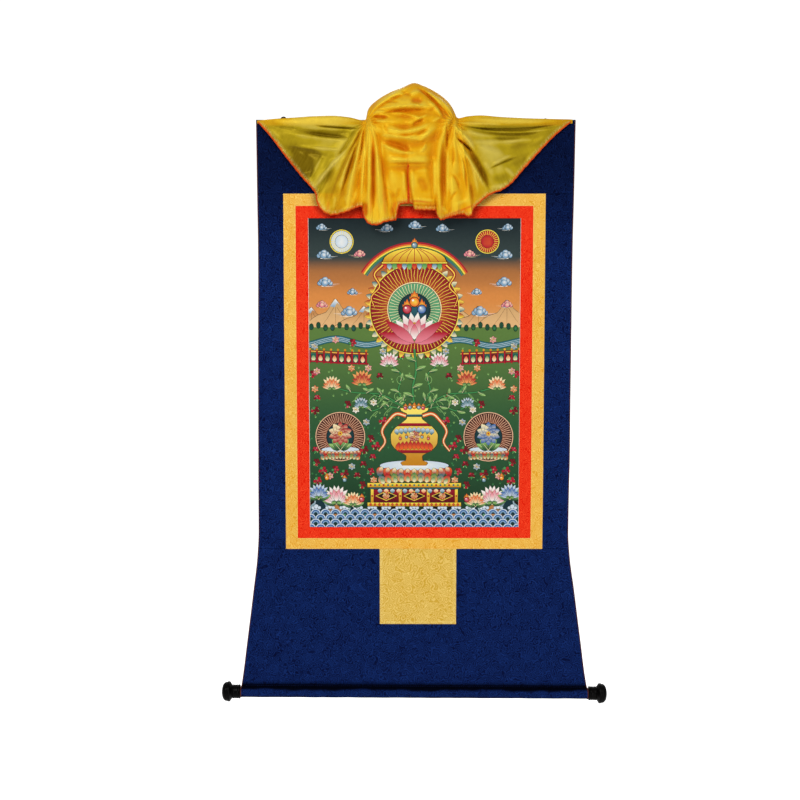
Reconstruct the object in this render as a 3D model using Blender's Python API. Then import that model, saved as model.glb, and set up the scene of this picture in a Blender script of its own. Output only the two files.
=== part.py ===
"""A thangka scroll painting, hung from a slat, with its yellow veil gathered up into a hood.

The scroll hangs in the X-Z plane and its front faces -Y. The origin is the middle of the
top edge, centred in the slat's depth. Lengths are in metres; tables marked mm are in
millimetres and go through mm().
"""

from collections import namedtuple
from math import acos, atan2, ceil, cos, exp, pi, radians, sin, sqrt

import bmesh
import bpy
from mathutils import Matrix, Vector


def mm(value):
    """Millimetres as metres."""
    return value * 0.001


# ---------------------------------------------------------------- driving dimensions

GAP = mm(0.3)  # between pieces that touch
CLOTH = mm(1.5)  # thickness of the mounting: brocade on its backing

SLAT_DEPTH = mm(8.0)
SLAT_HEIGHT = mm(20.0)
SLAT_ROUND = mm(1.2)
SLEEVE_TAIL = mm(15.0)  # the turned-down cloth stitched flat behind a sleeve
SLEEVE_STEP = mm(3.0)  # keeps the sleeve's faces flat up to its bends

DOWEL_RADIUS = mm(9.0)
ROLLER_Z = mm(-1103.4)
ROLLER_BEHIND = mm(2.0)  # the dowel's centre behind the cloth's mid plane
ROLLER_TILT = 0.0053  # fall for each metre towards +X
STITCH_ABOVE = mm(12.0)  # the sleeve's stitched line above the dowel's centre
PINCH_DEPTH = mm(3.0)  # how far the stitching draws the cloth back there
PINCH_REACH = mm(10.0)  # and how far above it the cloth starts to turn in

PIPING_RADIUS = mm(1.2)
LOOP_RADIUS = mm(1.6)

Rect = namedtuple("Rect", "left right top bottom")
GOLD_OUTER = Rect(mm(-248.0), mm(247.0), mm(-137.6), mm(-817.7))
RED_OUTER = Rect(mm(-225.0), mm(224.0), mm(-160.6), mm(-796.6))
PICTURE = Rect(mm(-202.0), mm(201.3), mm(-183.1), mm(-775.5))
DOOR = Rect(mm(-67.0), mm(81.0), GOLD_OUTER.bottom, mm(-966.3))

# Where the cloth's mid plane lies, and its front face.
SLEEVE_OFFSET = GAP + CLOTH / 2
CLOTH_Y = -(SLAT_DEPTH / 2 + SLEEVE_OFFSET)
FRONT_Y = CLOTH_Y - CLOTH / 2
TAIL_Y = CLOTH_Y + CLOTH + GAP
ROLLER_Y = CLOTH_Y + ROLLER_BEHIND

# The scroll's outline with its piping, mm: the sides lean a little, then flare.
EdgeRow = namedtuple("EdgeRow", "depth left right")
EDGE_ROWS = (
    EdgeRow(0, 298.2, 302.2),
    EdgeRow(150, 297.2, 300.4),
    EdgeRow(233, 296.5, 299.1),
    EdgeRow(430, 298.1, 298.3),
    EdgeRow(560, 299.3, 298.0),
    EdgeRow(640, 300.0, 298.2),
    EdgeRow(700, 300.5, 297.4),
    EdgeRow(785, 300.9, 297.1),
    EdgeRow(830, 303.4, 300.1),
    EdgeRow(900, 311.8, 310.0),
    EdgeRow(1000, 324.9, 323.7),
    EdgeRow(1085, 336.6, 336.2),
    EdgeRow(1100, 339.5, 340.0),
)

# A knob, turned about the roller's axis, mm from its seat against the sleeve.
TurnRow = namedtuple("TurnRow", "along radius")
KNOB_TURNING = (
    TurnRow(0.0, 12.6),
    TurnRow(0.8, 13.7),
    TurnRow(2.8, 13.7),
    TurnRow(3.7, 12.7),
    TurnRow(5.2, 13.4),
    TurnRow(9.5, 13.0),
    TurnRow(14.0, 13.5),
    TurnRow(15.0, 12.6),
    TurnRow(16.2, 13.6),
    TurnRow(18.2, 16.2),
    TurnRow(20.0, 19.0),
    TurnRow(21.4, 19.6),
    TurnRow(24.4, 19.3),
    TurnRow(25.8, 18.2),
    TurnRow(27.0, 18.5),
    TurnRow(30.0, 17.2),
    TurnRow(32.6, 14.6),
    TurnRow(34.4, 11.2),
    TurnRow(35.4, 6.8),
)
KNOB_SIDES = 28
KNOB_SEAT = mm(0.4)  # from the sleeve's end

# The veil. Its lines run down the cloth from the seam under the top edge to the side edge
# or hem, and are numbered from the left corner to the right one. Between rows a value is
# read straight across. Heights are from the top edge; "out" is from the mounting's face.
VEIL_CLOTH = mm(1.2)
VEIL_SEAM_Z = mm(-7.0)
VEIL_CLEAR = mm(2.7)  # nearest the mid surface comes to the mounting, away from the seam
LAST_LINE = 60
HOOD_LINES = (24, 40)  # the lines between the two gathers

PlaceRow = namedtuple("PlaceRow", "line x z")
CREST = (  # mm, the highest point of each line: along the wings and over the hood
    PlaceRow(0, -295.5, -2.2),
    PlaceRow(2, -262.0, 1.0),
    PlaceRow(4, -225.0, 3.2),
    PlaceRow(6, -185.0, 5.6),
    PlaceRow(7.5, -155.0, 6.2),
    PlaceRow(9, -122.0, 3.0),
    PlaceRow(10, -104.0, -1.5),
    PlaceRow(13, -97.0, -2.8),
    PlaceRow(20, -91.5, -1.0),
    PlaceRow(24, -89.8, 6.0),
    PlaceRow(26, -87.5, 16.0),
    PlaceRow(27, -82.0, 24.5),
    PlaceRow(28, -72.5, 33.0),
    PlaceRow(29, -59.5, 42.0),
    PlaceRow(30, -41.5, 51.5),
    PlaceRow(31, -21.5, 59.0),
    PlaceRow(32, -1.5, 66.8),
    PlaceRow(33, 15.0, 61.8),
    PlaceRow(34, 31.5, 54.2),
    PlaceRow(35, 46.8, 44.8),
    PlaceRow(36, 60.2, 33.4),
    PlaceRow(37, 69.0, 21.8),
    PlaceRow(38, 74.2, 10.8),
    PlaceRow(40, 77.5, 3.5),
    PlaceRow(44, 82.0, 1.0),
    PlaceRow(48, 88.0, 2.4),
    PlaceRow(50, 100.0, 5.2),
    PlaceRow(52, 124.0, 6.8),
    PlaceRow(54, 158.0, 4.2),
    PlaceRow(56, 200.0, 2.2),
    PlaceRow(58, 250.0, 0.8),
    PlaceRow(60, 295.5, 0.0),
)
HEM = (  # mm, the end of each line: down the side edges and along the pleated hem
    PlaceRow(0, -294.0, -5.0),
    PlaceRow(2, -272.0, -30.0),
    PlaceRow(5, -244.0, -67.0),
    PlaceRow(8, -211.0, -108.5),
    PlaceRow(10, -192.0, -130.0),
    PlaceRow(11, -186.0, -140.0),
    PlaceRow(12, -184.0, -153.0),
    PlaceRow(13, -171.0, -172.0),
    PlaceRow(14, -155.0, -177.0),
    PlaceRow(16, -129.0, -172.5),
    PlaceRow(18, -108.0, -163.5),
    PlaceRow(19, -100.0, -162.0),
    PlaceRow(20, -96.5, -176.0),
    PlaceRow(21, -89.0, -192.0),
    PlaceRow(22, -80.0, -196.5),
    PlaceRow(23, -70.5, -197.0),
    PlaceRow(24, -57.5, -191.5),
    PlaceRow(25, -45.0, -189.0),
    PlaceRow(26, -36.0, -187.5),
    PlaceRow(27, -33.0, -173.0),
    PlaceRow(28, -29.0, -159.5),
    PlaceRow(29, -22.0, -155.0),
    PlaceRow(30, -12.0, -153.5),
    PlaceRow(31, -3.5, -155.0),
    PlaceRow(32, -0.5, -168.5),
    PlaceRow(36, 39.0, -169.5),
    PlaceRow(37, 43.0, -181.5),
    PlaceRow(38, 49.0, -187.5),
    PlaceRow(40, 66.0, -182.0),
    PlaceRow(42, 84.0, -177.5),
    PlaceRow(43, 92.0, -177.0),
    PlaceRow(44, 99.0, -181.0),
    PlaceRow(45, 106.0, -179.0),
    PlaceRow(46, 109.5, -168.0),
    PlaceRow(47, 117.0, -159.5),
    PlaceRow(49, 144.5, -138.5),
    PlaceRow(50, 163.0, -131.5),
    PlaceRow(52, 181.0, -119.0),
    PlaceRow(54, 203.0, -94.0),
    PlaceRow(56, 231.0, -63.0),
    PlaceRow(58, 262.0, -30.5),
    PlaceRow(60, 293.5, -4.0),
)

# Across the hood a line is led through its waist, between the gathers, and its chin,
# where the pouch turns under above the flap; elsewhere it runs straight to its end.
HOOD_WAIST_Z = mm(-8.0)
HOOD_CHIN_Z = mm(-80.0)
HoodRow = namedtuple("HoodRow", "line waist_x chin_x")
HOOD_LEADS = (  # mm
    HoodRow(20, -91.0, -93.0),
    HoodRow(22, -87.0, -80.0),
    HoodRow(24, -82.0, -69.0),
    HoodRow(26, -74.0, -59.0),
    HoodRow(28, -60.0, -46.0),
    HoodRow(30, -38.0, -30.0),
    HoodRow(32, -12.0, -13.0),
    HoodRow(34, 16.0, 6.0),
    HoodRow(36, 42.0, 26.0),
    HoodRow(38, 60.0, 44.0),
    HoodRow(40, 70.0, 60.0),
    HoodRow(43, 78.0, 82.0),
)
HOOD_BLEND = (19.0, 24.0, 39.0, 44.0)  # lines between which the leads come in and go out
FAN_WAIST = 0.26  # how far down a straight line its waist and chin lie
FAN_CHIN = 0.60
SHOULDER_DOWN = 0.14  # how far from crest to waist the shoulder lies,
SHOULDER_FORWARD = 0.36  # and how much of the way forward it has come by then

DepthRow = namedtuple("DepthRow", "line crest waist chin hem")
DEPTHS = (  # mm, how far the cloth stands out from the mounting
    DepthRow(0, 2.8, 2.8, 2.8, 2.8),
    DepthRow(3, 5.0, 6.5, 7.0, 6.0),
    DepthRow(7, 9.0, 10.5, 11.5, 9.0),
    DepthRow(10, 12.0, 14.0, 14.0, 11.0),
    DepthRow(14, 15.0, 21.0, 19.0, 14.0),
    DepthRow(20, 17.0, 27.0, 25.0, 20.0),
    DepthRow(23, 16.0, 33.0, 31.0, 25.0),
    DepthRow(26, 10.0, 38.0, 37.0, 23.0),
    DepthRow(29, 5.0, 43.0, 43.0, 19.0),
    DepthRow(32, 3.5, 46.0, 45.0, 20.0),
    DepthRow(35, 5.0, 43.0, 41.0, 21.0),
    DepthRow(38, 11.0, 36.0, 33.0, 23.0),
    DepthRow(41, 16.0, 28.0, 27.0, 22.0),
    DepthRow(46, 15.0, 20.0, 21.0, 17.0),
    DepthRow(50, 11.0, 13.0, 14.0, 11.0),
    DepthRow(54, 8.5, 9.0, 9.0, 8.0),
    DepthRow(58, 5.0, 5.0, 5.0, 4.5),
    DepthRow(60, 2.8, 2.8, 2.8, 2.8),
)

FoldRow = namedtuple("FoldRow", "line height")
FOLDS = (  # mm, the ridges and troughs that run down from the gathers
    FoldRow(0, 0.0),
    FoldRow(6, -1.0),
    FoldRow(9, 0.0),
    FoldRow(10, 3.0),
    FoldRow(11, -2.0),
    FoldRow(12, 1.0),
    FoldRow(13, 4.0),
    FoldRow(14.5, -4.5),
    FoldRow(16, 6.0),
    FoldRow(17.5, -4.5),
    FoldRow(19, 1.0),
    FoldRow(20, 0.0),
    FoldRow(21.5, 8.0),
    FoldRow(23, 4.0),
    FoldRow(24, 6.0),
    FoldRow(25, 1.0),
    FoldRow(26, -4.0),
    FoldRow(27, -1.0),
    FoldRow(28, 1.5),
    FoldRow(30, 2.0),
    FoldRow(31.5, -2.0),
    FoldRow(32.5, 2.5),
    FoldRow(35, 1.0),
    FoldRow(36.5, -5.0),
    FoldRow(38, 6.0),
    FoldRow(39.5, -3.5),
    FoldRow(41, 5.0),
    FoldRow(43, -2.5),
    FoldRow(45, 7.0),
    FoldRow(46.5, -5.0),
    FoldRow(48.5, 0.5),
    FoldRow(52, -1.0),
    FoldRow(60, 0.0),
)

# Folds that lie across the lines, as the viewer sees them: each runs from one end to the
# other, hangs down by its sag between them and fades out towards both ends.
SwagRow = namedtuple("SwagRow", "name x0 z0 x1 z1 sag width height")
SWAGS = (  # mm
    SwagRow("brow ridge", -72, 26, 44, 20, -4, 10, 4.5),
    SwagRow("brow trough", -70, 9, 50, 4, -3, 10, -4.5),
    SwagRow("upper swag", -76, -14, 58, -4, 24, 10, 5.0),
    SwagRow("swag trough", -68, -34, 52, -30, 17, 10, -4.5),
    SwagRow("chin", -66, -76, 46, -74, 3, 9, 4.5),
    SwagRow("under the chin", -62, -93, 40, -92, 0, 9, -5.0),
    SwagRow("left roll", -270, -7, -98, -10, 2, 8, 3.0),
    SwagRow("under left roll", -235, -20, -96, -26, 3, 9, -3.5),
    SwagRow("left hollow", -250, -62, -160, -72, 12, 26, -4.0),
    SwagRow("right roll", 92, -8, 275, -8, 2, 8, 3.0),
    SwagRow("under right roll", 96, -21, 250, -21, 2, 9, -3.5),
    SwagRow("right slope", 104, -34, 176, -116, -6, 16, 3.0),
)

# Stretches of each line and how many cells each gets, seam to hem.
CELLS_TO_BACK, CELLS_TO_CREST, CELLS_TO_SHOULDER = 2, 2, 3
CELLS_TO_WAIST, CELLS_TO_CHIN, CELLS_TO_HEM = 8, 9, 9

# The loops sewn behind the slat, mm: where, how wide, and how far over the top edge.
LoopRow = namedtuple("LoopRow", "name x half_width above")
LOOPS = (
    LoopRow("hanging_loop_left", -247.4, 6.5, 7.2),
    LoopRow("hanging_loop_right", 246.2, 5.5, 3.8),
)
LOOP_FOOT_Z = mm(-15.0)
LOOP_BEND_Z = mm(-6.0)

DOOR_ROWS = 4  # cells of the bottom panel beside the door patch

# ---------------------------------------------------------------- materials

Finish = namedtuple("Finish", "color roughness metallic")
NAVY = Finish((0.012, 0.020, 0.110), 0.62, 0.0)
GOLD = Finish((0.72, 0.46, 0.10), 0.50, 0.1)
RED = Finish((0.80, 0.06, 0.02), 0.55, 0.0)
CANVAS = Finish((0.20, 0.22, 0.14), 0.60, 0.0)
SATIN = Finish((0.72, 0.42, 0.02), 0.35, 0.0)
PIPING = Finish((0.16, 0.05, 0.03), 0.60, 0.0)
LACQUER = Finish((0.008, 0.008, 0.008), 0.25, 0.0)
WOOD = Finish((0.22, 0.12, 0.05), 0.55, 0.0)
CORD = Finish((0.03, 0.012, 0.01), 0.75, 0.0)


def material(name, finish):
    """A Principled material in the finish's colour, made once."""
    made = bpy.data.materials.get(name)
    if made:
        return made
    made = bpy.data.materials.new(name)
    made.use_nodes = True
    shader = made.node_tree.nodes["Principled BSDF"]
    shader.inputs["Base Color"].default_value = (*finish.color, 1.0)
    shader.inputs["Roughness"].default_value = finish.roughness
    shader.inputs["Metallic"].default_value = finish.metallic
    made.diffuse_color = (*finish.color, 1.0)
    return made


# ---------------------------------------------------------------- small helpers


def smooth(t):
    """0 to 1 with soft ends, for t in and beyond that range."""
    t = min(max(t, 0.0), 1.0)
    return t * t * (3.0 - 2.0 * t)


def read_rows(rows, at, key, field):
    """The value of a table's field at a place between its rows."""
    before = rows[0]
    for after in rows[1:]:
        start, end = getattr(before, key), getattr(after, key)
        if at <= end:
            share = min(max((at - start) / (end - start), 0.0), 1.0)
            return getattr(before, field) * (1.0 - share) + getattr(after, field) * share
        before = after
    return getattr(rows[-1], field)


def hang(x, z):
    """How far the mounting bows forward: it is held flat by the slat and the roller."""
    fall = min(max((-z - mm(30)) / mm(1040), 0.0), 1.0)
    curl = mm(3.5) * sin(pi * fall) * (x / mm(300)) ** 2
    ripple = mm(1.2) * sin(pi * fall) * sin(3.3 * pi * fall + 7.0 * x)
    return curl + ripple


def roller_fall(x, z):
    """How far a point is lowered, because the roller hangs a little lower at +X."""
    return ROLLER_TILT * x * smooth((-z - mm(820)) / mm(270))


def pinch(z):
    """How far the mounting is drawn back by the stitching above the roller."""
    into = (ROLLER_Z + STITCH_ABOVE + PINCH_REACH - z) / PINCH_REACH
    return PINCH_DEPTH * min(max(into, 0.0), 1.0) ** 2


def on_mounting(x, z):
    """A point of the mounting's mid surface."""
    return Vector((x, CLOTH_Y - hang(x, z) + pinch(z), z - roller_fall(x, z)))


def outline(z, side):
    """The half width of the scroll on one side (-1 left, +1 right) with its piping."""
    field = "left" if side < 0 else "right"
    return mm(read_rows(EDGE_ROWS, -z / mm(1), "depth", field))


def cloth_edge(z, side):
    """The x of the brocade's cut edge, inside the piping."""
    return side * (outline(z, side) - 2 * PIPING_RADIUS - GAP)


def spread(start, end, cells):
    """Evenly spaced values from start to end, cells + 1 of them."""
    return [start + (end - start) * i / cells for i in range(cells + 1)]


def link(name, mesh_or_curve, finish_name, finish):
    """Links new data to the scene as one named object with its own material."""
    obj = bpy.data.objects.new(name, mesh_or_curve)
    bpy.context.scene.collection.objects.link(obj)
    obj.data.materials.append(material(finish_name, finish))
    return obj


def sheet(name, columns, rows, place, thickness, finish_name, finish, left_out=None, soft=False):
    """A cloth sheet: a grid whose points place(i, j) sets, given its thickness.

    left_out(i, j) says which cells are cut away, and soft shades the sheet smooth.
    """
    bm = bmesh.new()
    bmesh.ops.create_grid(bm, x_segments=columns, y_segments=rows, size=1.0)
    for vert in bm.verts:
        across, down = (vert.co.x + 1) / 2, (1 - vert.co.y) / 2
        vert.co = place(round(across * columns), round(down * rows))
    if left_out:
        bm.faces.ensure_lookup_table()
        numbered = enumerate(bm.faces)
        cut = [face for n, face in numbered if left_out(n % columns, rows - 1 - n // columns)]
        bmesh.ops.delete(bm, geom=cut, context="FACES")
    mesh = bpy.data.meshes.new(name)
    bm.to_mesh(mesh)
    bm.free()
    if soft:
        mesh.shade_smooth()
    obj = link(name, mesh, finish_name, finish)
    wall = obj.modifiers.new("Thickness", "SOLIDIFY")
    wall.thickness = thickness
    wall.offset = 0.0
    return obj


def tube(name, points, radius, finish_name, finish, resolution=2):
    """A round cord through the points, with closed ends."""
    curve = bpy.data.curves.new(name, "CURVE")
    curve.dimensions = "3D"
    curve.bevel_depth = radius
    curve.bevel_resolution = resolution
    curve.use_fill_caps = True
    spline = curve.splines.new("POLY")
    spline.points.add(len(points) - 1)
    for spot, point in zip(spline.points, points):
        spot.co = (*point, 1.0)
    return link(name, curve, finish_name, finish)


# ---------------------------------------------------------------- slat, panels, piping


def top_heights():
    """Heights of the top panel's rows on its front, from the border up to the slat."""
    return spread(GOLD_OUTER.top + GAP / 2, -(CLOTH + GAP) - SLAT_HEIGHT, 4)


def side_heights():
    """Heights of the side panels' rows."""
    return spread(GOLD_OUTER.top - GAP / 2, GOLD_OUTER.bottom + GAP / 2, 14)


def bottom_heights():
    """Heights of the bottom panel's rows: beside the door patch, then down to the sleeve."""
    stitch = ROLLER_Z + STITCH_ABOVE
    beside_door = spread(GOLD_OUTER.bottom - GAP / 2, DOOR.bottom - GAP / 2, DOOR_ROWS)
    below_door = spread(beside_door[-1], stitch + PINCH_REACH, 2)[1:]
    return beside_door + below_door + spread(below_door[-1], stitch, 3)[1:]


def sleeve_over_slat():
    """Section (y, z) of the cloth from the slat's front foot over it to the stitched tail."""
    foot = -(CLOTH + GAP) - SLAT_HEIGHT
    corner = SLAT_ROUND + SLEEVE_OFFSET
    top = -CLOTH / 2
    half = SLAT_DEPTH / 2 + SLEEVE_OFFSET
    section = [(-half, foot), (-half, foot + SLEEVE_STEP), (-half, top - corner - SLEEVE_STEP)]
    for centre, start in ((-half + corner, pi), (half - corner, pi / 2)):
        for angle in spread(start, start - pi / 2, 4):
            section.append((centre + corner * cos(angle), top - corner + corner * sin(angle)))
    section.append((half, top - corner - SLEEVE_STEP))
    section.append((half, foot + SLEEVE_STEP))
    section.append((half, foot))
    section.append((TAIL_Y, foot - (half - TAIL_Y)))
    section.append((TAIL_Y, foot - (half - TAIL_Y) - SLEEVE_TAIL))
    return section


def sleeve_round_dowel(radius=DOWEL_RADIUS + SLEEVE_OFFSET):
    """Section (y, z) of the cloth from the stitched line, round the dowel, to its tail."""
    stitch_y = CLOTH_Y + PINCH_DEPTH
    tail_gap = CLOTH + GAP
    ends = []
    for y, turn in ((stitch_y, 1), (stitch_y + tail_gap, -1)):
        reach = sqrt((y - ROLLER_Y) ** 2 + STITCH_ABOVE**2)
        ends.append(atan2(STITCH_ABOVE, y - ROLLER_Y) + turn * acos(radius / reach))
    section = [(stitch_y, ROLLER_Z + STITCH_ABOVE)]
    for angle in spread(ends[0], ends[1] + 2 * pi, 13):
        section.append((ROLLER_Y + radius * cos(angle), ROLLER_Z + radius * sin(angle)))
    for up in (0.0, PINCH_REACH / 3, SLEEVE_TAIL):
        z = ROLLER_Z + STITCH_ABOVE + up
        section.append((CLOTH_Y + pinch(z) + tail_gap, z))
    return section


def make_slat():
    """The batten in the top sleeve."""
    z = -(CLOTH + GAP) - SLAT_HEIGHT / 2
    left, right = cloth_edge(z, -1), cloth_edge(z, 1)
    bm = bmesh.new()
    bmesh.ops.create_cube(bm, size=1.0)
    bmesh.ops.scale(bm, vec=(right - left - GAP, SLAT_DEPTH, SLAT_HEIGHT), verts=bm.verts)
    mesh = bpy.data.meshes.new("top_slat")
    bm.to_mesh(mesh)
    bm.free()
    slat = link("top_slat", mesh, "slat_wood", WOOD)
    slat.location = ((left + right) / 2, 0.0, z)
    rounded = slat.modifiers.new("Rounded", "BEVEL")
    rounded.width = SLAT_ROUND
    rounded.segments = 2


def make_top_panel():
    """The brocade over the picture, folded over the slat."""
    sleeve = sleeve_over_slat()
    front = top_heights()[:-1]
    columns = 12
    rows = len(front) + len(sleeve) - 1

    def place(i, j):
        if j < len(front):
            z = front[j]
            x = spread(cloth_edge(z, -1), cloth_edge(z, 1), columns)[i]
            return on_mounting(x, z)
        y, z = sleeve[j - len(front)]
        x = spread(cloth_edge(z, -1), cloth_edge(z, 1), columns)[i]
        return Vector((x, y, z))

    sheet("top_panel", columns, rows, place, CLOTH, "navy_brocade", NAVY)


def make_side_panels():
    """The brocade strips on both sides of the gold border."""
    heights = side_heights()

    def strip(name, side, inner):
        def place(i, j):
            z = heights[j]
            outer = cloth_edge(z, side)
            left, right = min(outer, inner), max(outer, inner)
            return on_mounting(spread(left, right, 2)[i], z)

        sheet(name, 2, len(heights) - 1, place, CLOTH, "navy_brocade", NAVY)

    strip("side_panel_left", -1, GOLD_OUTER.left - GAP / 2)
    strip("side_panel_right", 1, GOLD_OUTER.right + GAP / 2)


def make_bottom_panel():
    """The flared brocade under the picture, notched for the door and rolled on the dowel."""
    sleeve = sleeve_round_dowel()
    heights = bottom_heights()[:-1]
    side_cells, door_cells = 5, 3
    columns = 2 * side_cells + door_cells
    rows = len(heights) + len(sleeve) - 1

    def place(i, j):
        if j < len(heights):
            z = heights[j]
            y = None
        else:
            y, z = sleeve[j - len(heights)]
        edge_z = z if j <= len(heights) or j >= rows - 2 else ROLLER_Z
        left = spread(cloth_edge(edge_z, -1), DOOR.left - GAP / 2, side_cells)
        door = spread(left[-1], DOOR.right + GAP / 2, door_cells)
        right = spread(door[-1], cloth_edge(edge_z, 1), side_cells)
        x = (left + door[1:] + right[1:])[i]
        if y is None:
            return on_mounting(x, z)
        return Vector((x, y, z - ROLLER_TILT * x))

    def in_notch(i, j):
        return side_cells <= i < side_cells + door_cells and j < DOOR_ROWS

    sheet("bottom_panel", columns, rows, place, CLOTH, "navy_brocade", NAVY, in_notch)


def flat_piece(name, rect, columns, rows, finish_name, finish):
    """A rectangle of cloth let into the mounting."""
    xs = spread(rect.left + GAP / 2, rect.right - GAP / 2, columns)
    zs = spread(rect.top - GAP / 2, rect.bottom + GAP / 2, rows)
    sheet(name, columns, rows, lambda i, j: on_mounting(xs[i], zs[j]), CLOTH, finish_name, finish)


def make_border(prefix, outer, inner, finish_name, finish):
    """Four mitred strips between an outer and an inner rectangle."""
    mitre = GAP / 2 * sqrt(2.0)

    def corner(rect_side_x, rect_side_z, share):
        x = getattr(outer, rect_side_x) * (1 - share) + getattr(inner, rect_side_x) * share
        z = getattr(outer, rect_side_z) * (1 - share) + getattr(inner, rect_side_z) * share
        return x, z

    def strip(side):
        across = abs(getattr(outer, side) - getattr(inner, side))
        shares = (GAP / 2 / across, 1 - GAP / 2 / across)
        lies_flat = side in ("top", "bottom")
        cells = ceil((outer.right - outer.left if lies_flat else outer.top - outer.bottom) / mm(62))

        def place(i, j):
            if lies_flat:
                share = shares[j] if side == "top" else shares[1 - j]
                x0, z = corner("left", side, share)
                x1, z = corner("right", side, share)
                return on_mounting(spread(x0 + mitre, x1 - mitre, cells)[i], z)
            share = shares[i] if side == "left" else shares[1 - i]
            x, z0 = corner(side, "top", share)
            x, z1 = corner(side, "bottom", share)
            return on_mounting(x, spread(z0 - mitre, z1 + mitre, cells)[j])

        columns, rows = (cells, 1) if lies_flat else (1, cells)
        sheet(f"{prefix}_strip_{side}", columns, rows, place, CLOTH, finish_name, finish)

    for side in ("top", "bottom", "left", "right"):
        strip(side)


def make_piping(name, side):
    """The binding down one side, over the slat's end and round the sleeve on the roller."""
    inset = PIPING_RADIUS
    over_slat = sleeve_over_slat()[1:-2]
    points = [Vector((side * (outline(z, side) - inset), y, z)) for y, z in reversed(over_slat)]
    for z in top_heights()[-2::-1] + side_heights()[1:] + bottom_heights()[1:]:
        x = side * (outline(z, side) - inset)
        points.append(on_mounting(x, z))
    for y, z in sleeve_round_dowel(DOWEL_RADIUS + GAP + PIPING_RADIUS)[1:-3]:
        x = side * (outline(ROLLER_Z, side) - inset)
        points.append(Vector((x, y, z - ROLLER_TILT * x)))
    tube(name, points, PIPING_RADIUS, "piping_cord", PIPING)


# ---------------------------------------------------------------- roller


def make_roller():
    """The dowel in the bottom sleeve and the turned knobs on its ends."""
    left, right = -outline(ROLLER_Z, -1), outline(ROLLER_Z, 1)
    tilt = Matrix.Rotation(ROLLER_TILT, 4, "Y")
    centre = Vector((0.0, ROLLER_Y, ROLLER_Z))

    bm = bmesh.new()
    turn = Matrix.Rotation(radians(90), 4, "Y")
    bmesh.ops.create_cone(
        bm,
        cap_ends=True,
        segments=24,
        radius1=DOWEL_RADIUS,
        radius2=DOWEL_RADIUS,
        depth=right - left,
        matrix=Matrix.Translation(((left + right) / 2, 0, 0)) @ turn,
    )
    mesh = bpy.data.meshes.new("roller_dowel")
    bm.to_mesh(mesh)
    bm.free()
    mesh.shade_smooth()
    mesh.set_sharp_from_angle(angle=radians(40))
    dowel = link("roller_dowel", mesh, "dowel_wood", WOOD)
    dowel.matrix_world = Matrix.Translation(centre) @ tilt

    for name, side, seat in (("knob_left", -1, left), ("knob_right", 1, right)):
        bm = bmesh.new()
        profile = [(0.0, 0.0)]
        profile += [(mm(row.along), mm(row.radius)) for row in KNOB_TURNING]
        profile.append((mm(KNOB_TURNING[-1].along), 0.0))
        verts = [bm.verts.new((side * along, 0.0, radius)) for along, radius in profile]
        edges = [bm.edges.new(pair) for pair in zip(verts, verts[1:])]
        bmesh.ops.spin(
            bm,
            geom=verts + edges,
            cent=(0, 0, 0),
            axis=(1, 0, 0),
            angle=2 * pi,
            steps=KNOB_SIDES,
            use_merge=True,
        )
        bmesh.ops.remove_doubles(bm, verts=bm.verts, dist=mm(0.01))
        bmesh.ops.recalc_face_normals(bm, faces=bm.faces)
        mesh = bpy.data.meshes.new(name)
        bm.to_mesh(mesh)
        bm.free()
        mesh.shade_smooth()
        mesh.set_sharp_from_angle(angle=radians(35))
        knob = link(name, mesh, "black_lacquer", LACQUER)
        place = Matrix.Translation((seat + side * KNOB_SEAT, 0, 0))
        knob.matrix_world = Matrix.Translation(centre) @ tilt @ place


# ---------------------------------------------------------------- veil


def hood_share(line):
    """1 on the lines that make the hood, 0 on the wings and fans, soft between."""
    come_in, full, leave, gone = HOOD_BLEND
    return smooth((line - come_in) / (full - come_in)) * smooth((gone - line) / (gone - leave))


def seam_x(line):
    """Where along the top a line starts: even behind the hood, gathered beside it."""
    start, end = HOOD_LINES
    x0, x1 = read_rows(CREST, start, "line", "x"), read_rows(CREST, end, "line", "x")
    if line <= start or line >= end:
        return mm(read_rows(CREST, line, "line", "x"))
    return mm(x0 + (x1 - x0) * (line - start) / (end - start))


def veil_stations(line):
    """The points (x, out, z) that one line of the veil passes through, seam to hem."""
    depth = {key: mm(read_rows(DEPTHS, line, "line", key)) for key in DepthRow._fields[1:]}
    crest_x = mm(read_rows(CREST, line, "line", "x"))
    crest_z = mm(read_rows(CREST, line, "line", "z"))
    hem_x = mm(read_rows(HEM, line, "line", "x"))
    hem_z = mm(read_rows(HEM, line, "line", "z"))
    share = hood_share(line)

    def led(fraction, lead_x, lead_z):
        x = crest_x + (hem_x - crest_x) * fraction
        z = crest_z + (hem_z - crest_z) * fraction
        return x + (mm(lead_x) - x) * share, z + (lead_z - z) * share

    waist_lead = read_rows(HOOD_LEADS, line, "line", "waist_x")
    chin_lead = read_rows(HOOD_LEADS, line, "line", "chin_x")
    waist_x, waist_z = led(FAN_WAIST, waist_lead, HOOD_WAIST_Z)
    chin_x, chin_z = led(FAN_CHIN, chin_lead, HOOD_CHIN_Z)
    shoulder_x = crest_x + (waist_x - crest_x) * SHOULDER_DOWN
    shoulder_z = crest_z + (waist_z - crest_z) * SHOULDER_DOWN
    shoulder_out = depth["crest"] + (depth["waist"] - depth["crest"]) * SHOULDER_FORWARD
    start_x = seam_x(line)
    back_out = max(depth["crest"] * 0.75, VEIL_CLEAR)
    return (
        Vector((start_x, GAP + VEIL_CLOTH / 2, VEIL_SEAM_Z)),
        Vector(((start_x + crest_x) / 2, back_out, (VEIL_SEAM_Z + crest_z) / 2)),
        Vector((crest_x, depth["crest"], crest_z)),
        Vector((shoulder_x, shoulder_out, shoulder_z)),
        Vector((waist_x, depth["waist"], waist_z)),
        Vector((chin_x, depth["chin"], chin_z)),
        Vector((hem_x, depth["hem"], hem_z)),
    )


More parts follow.
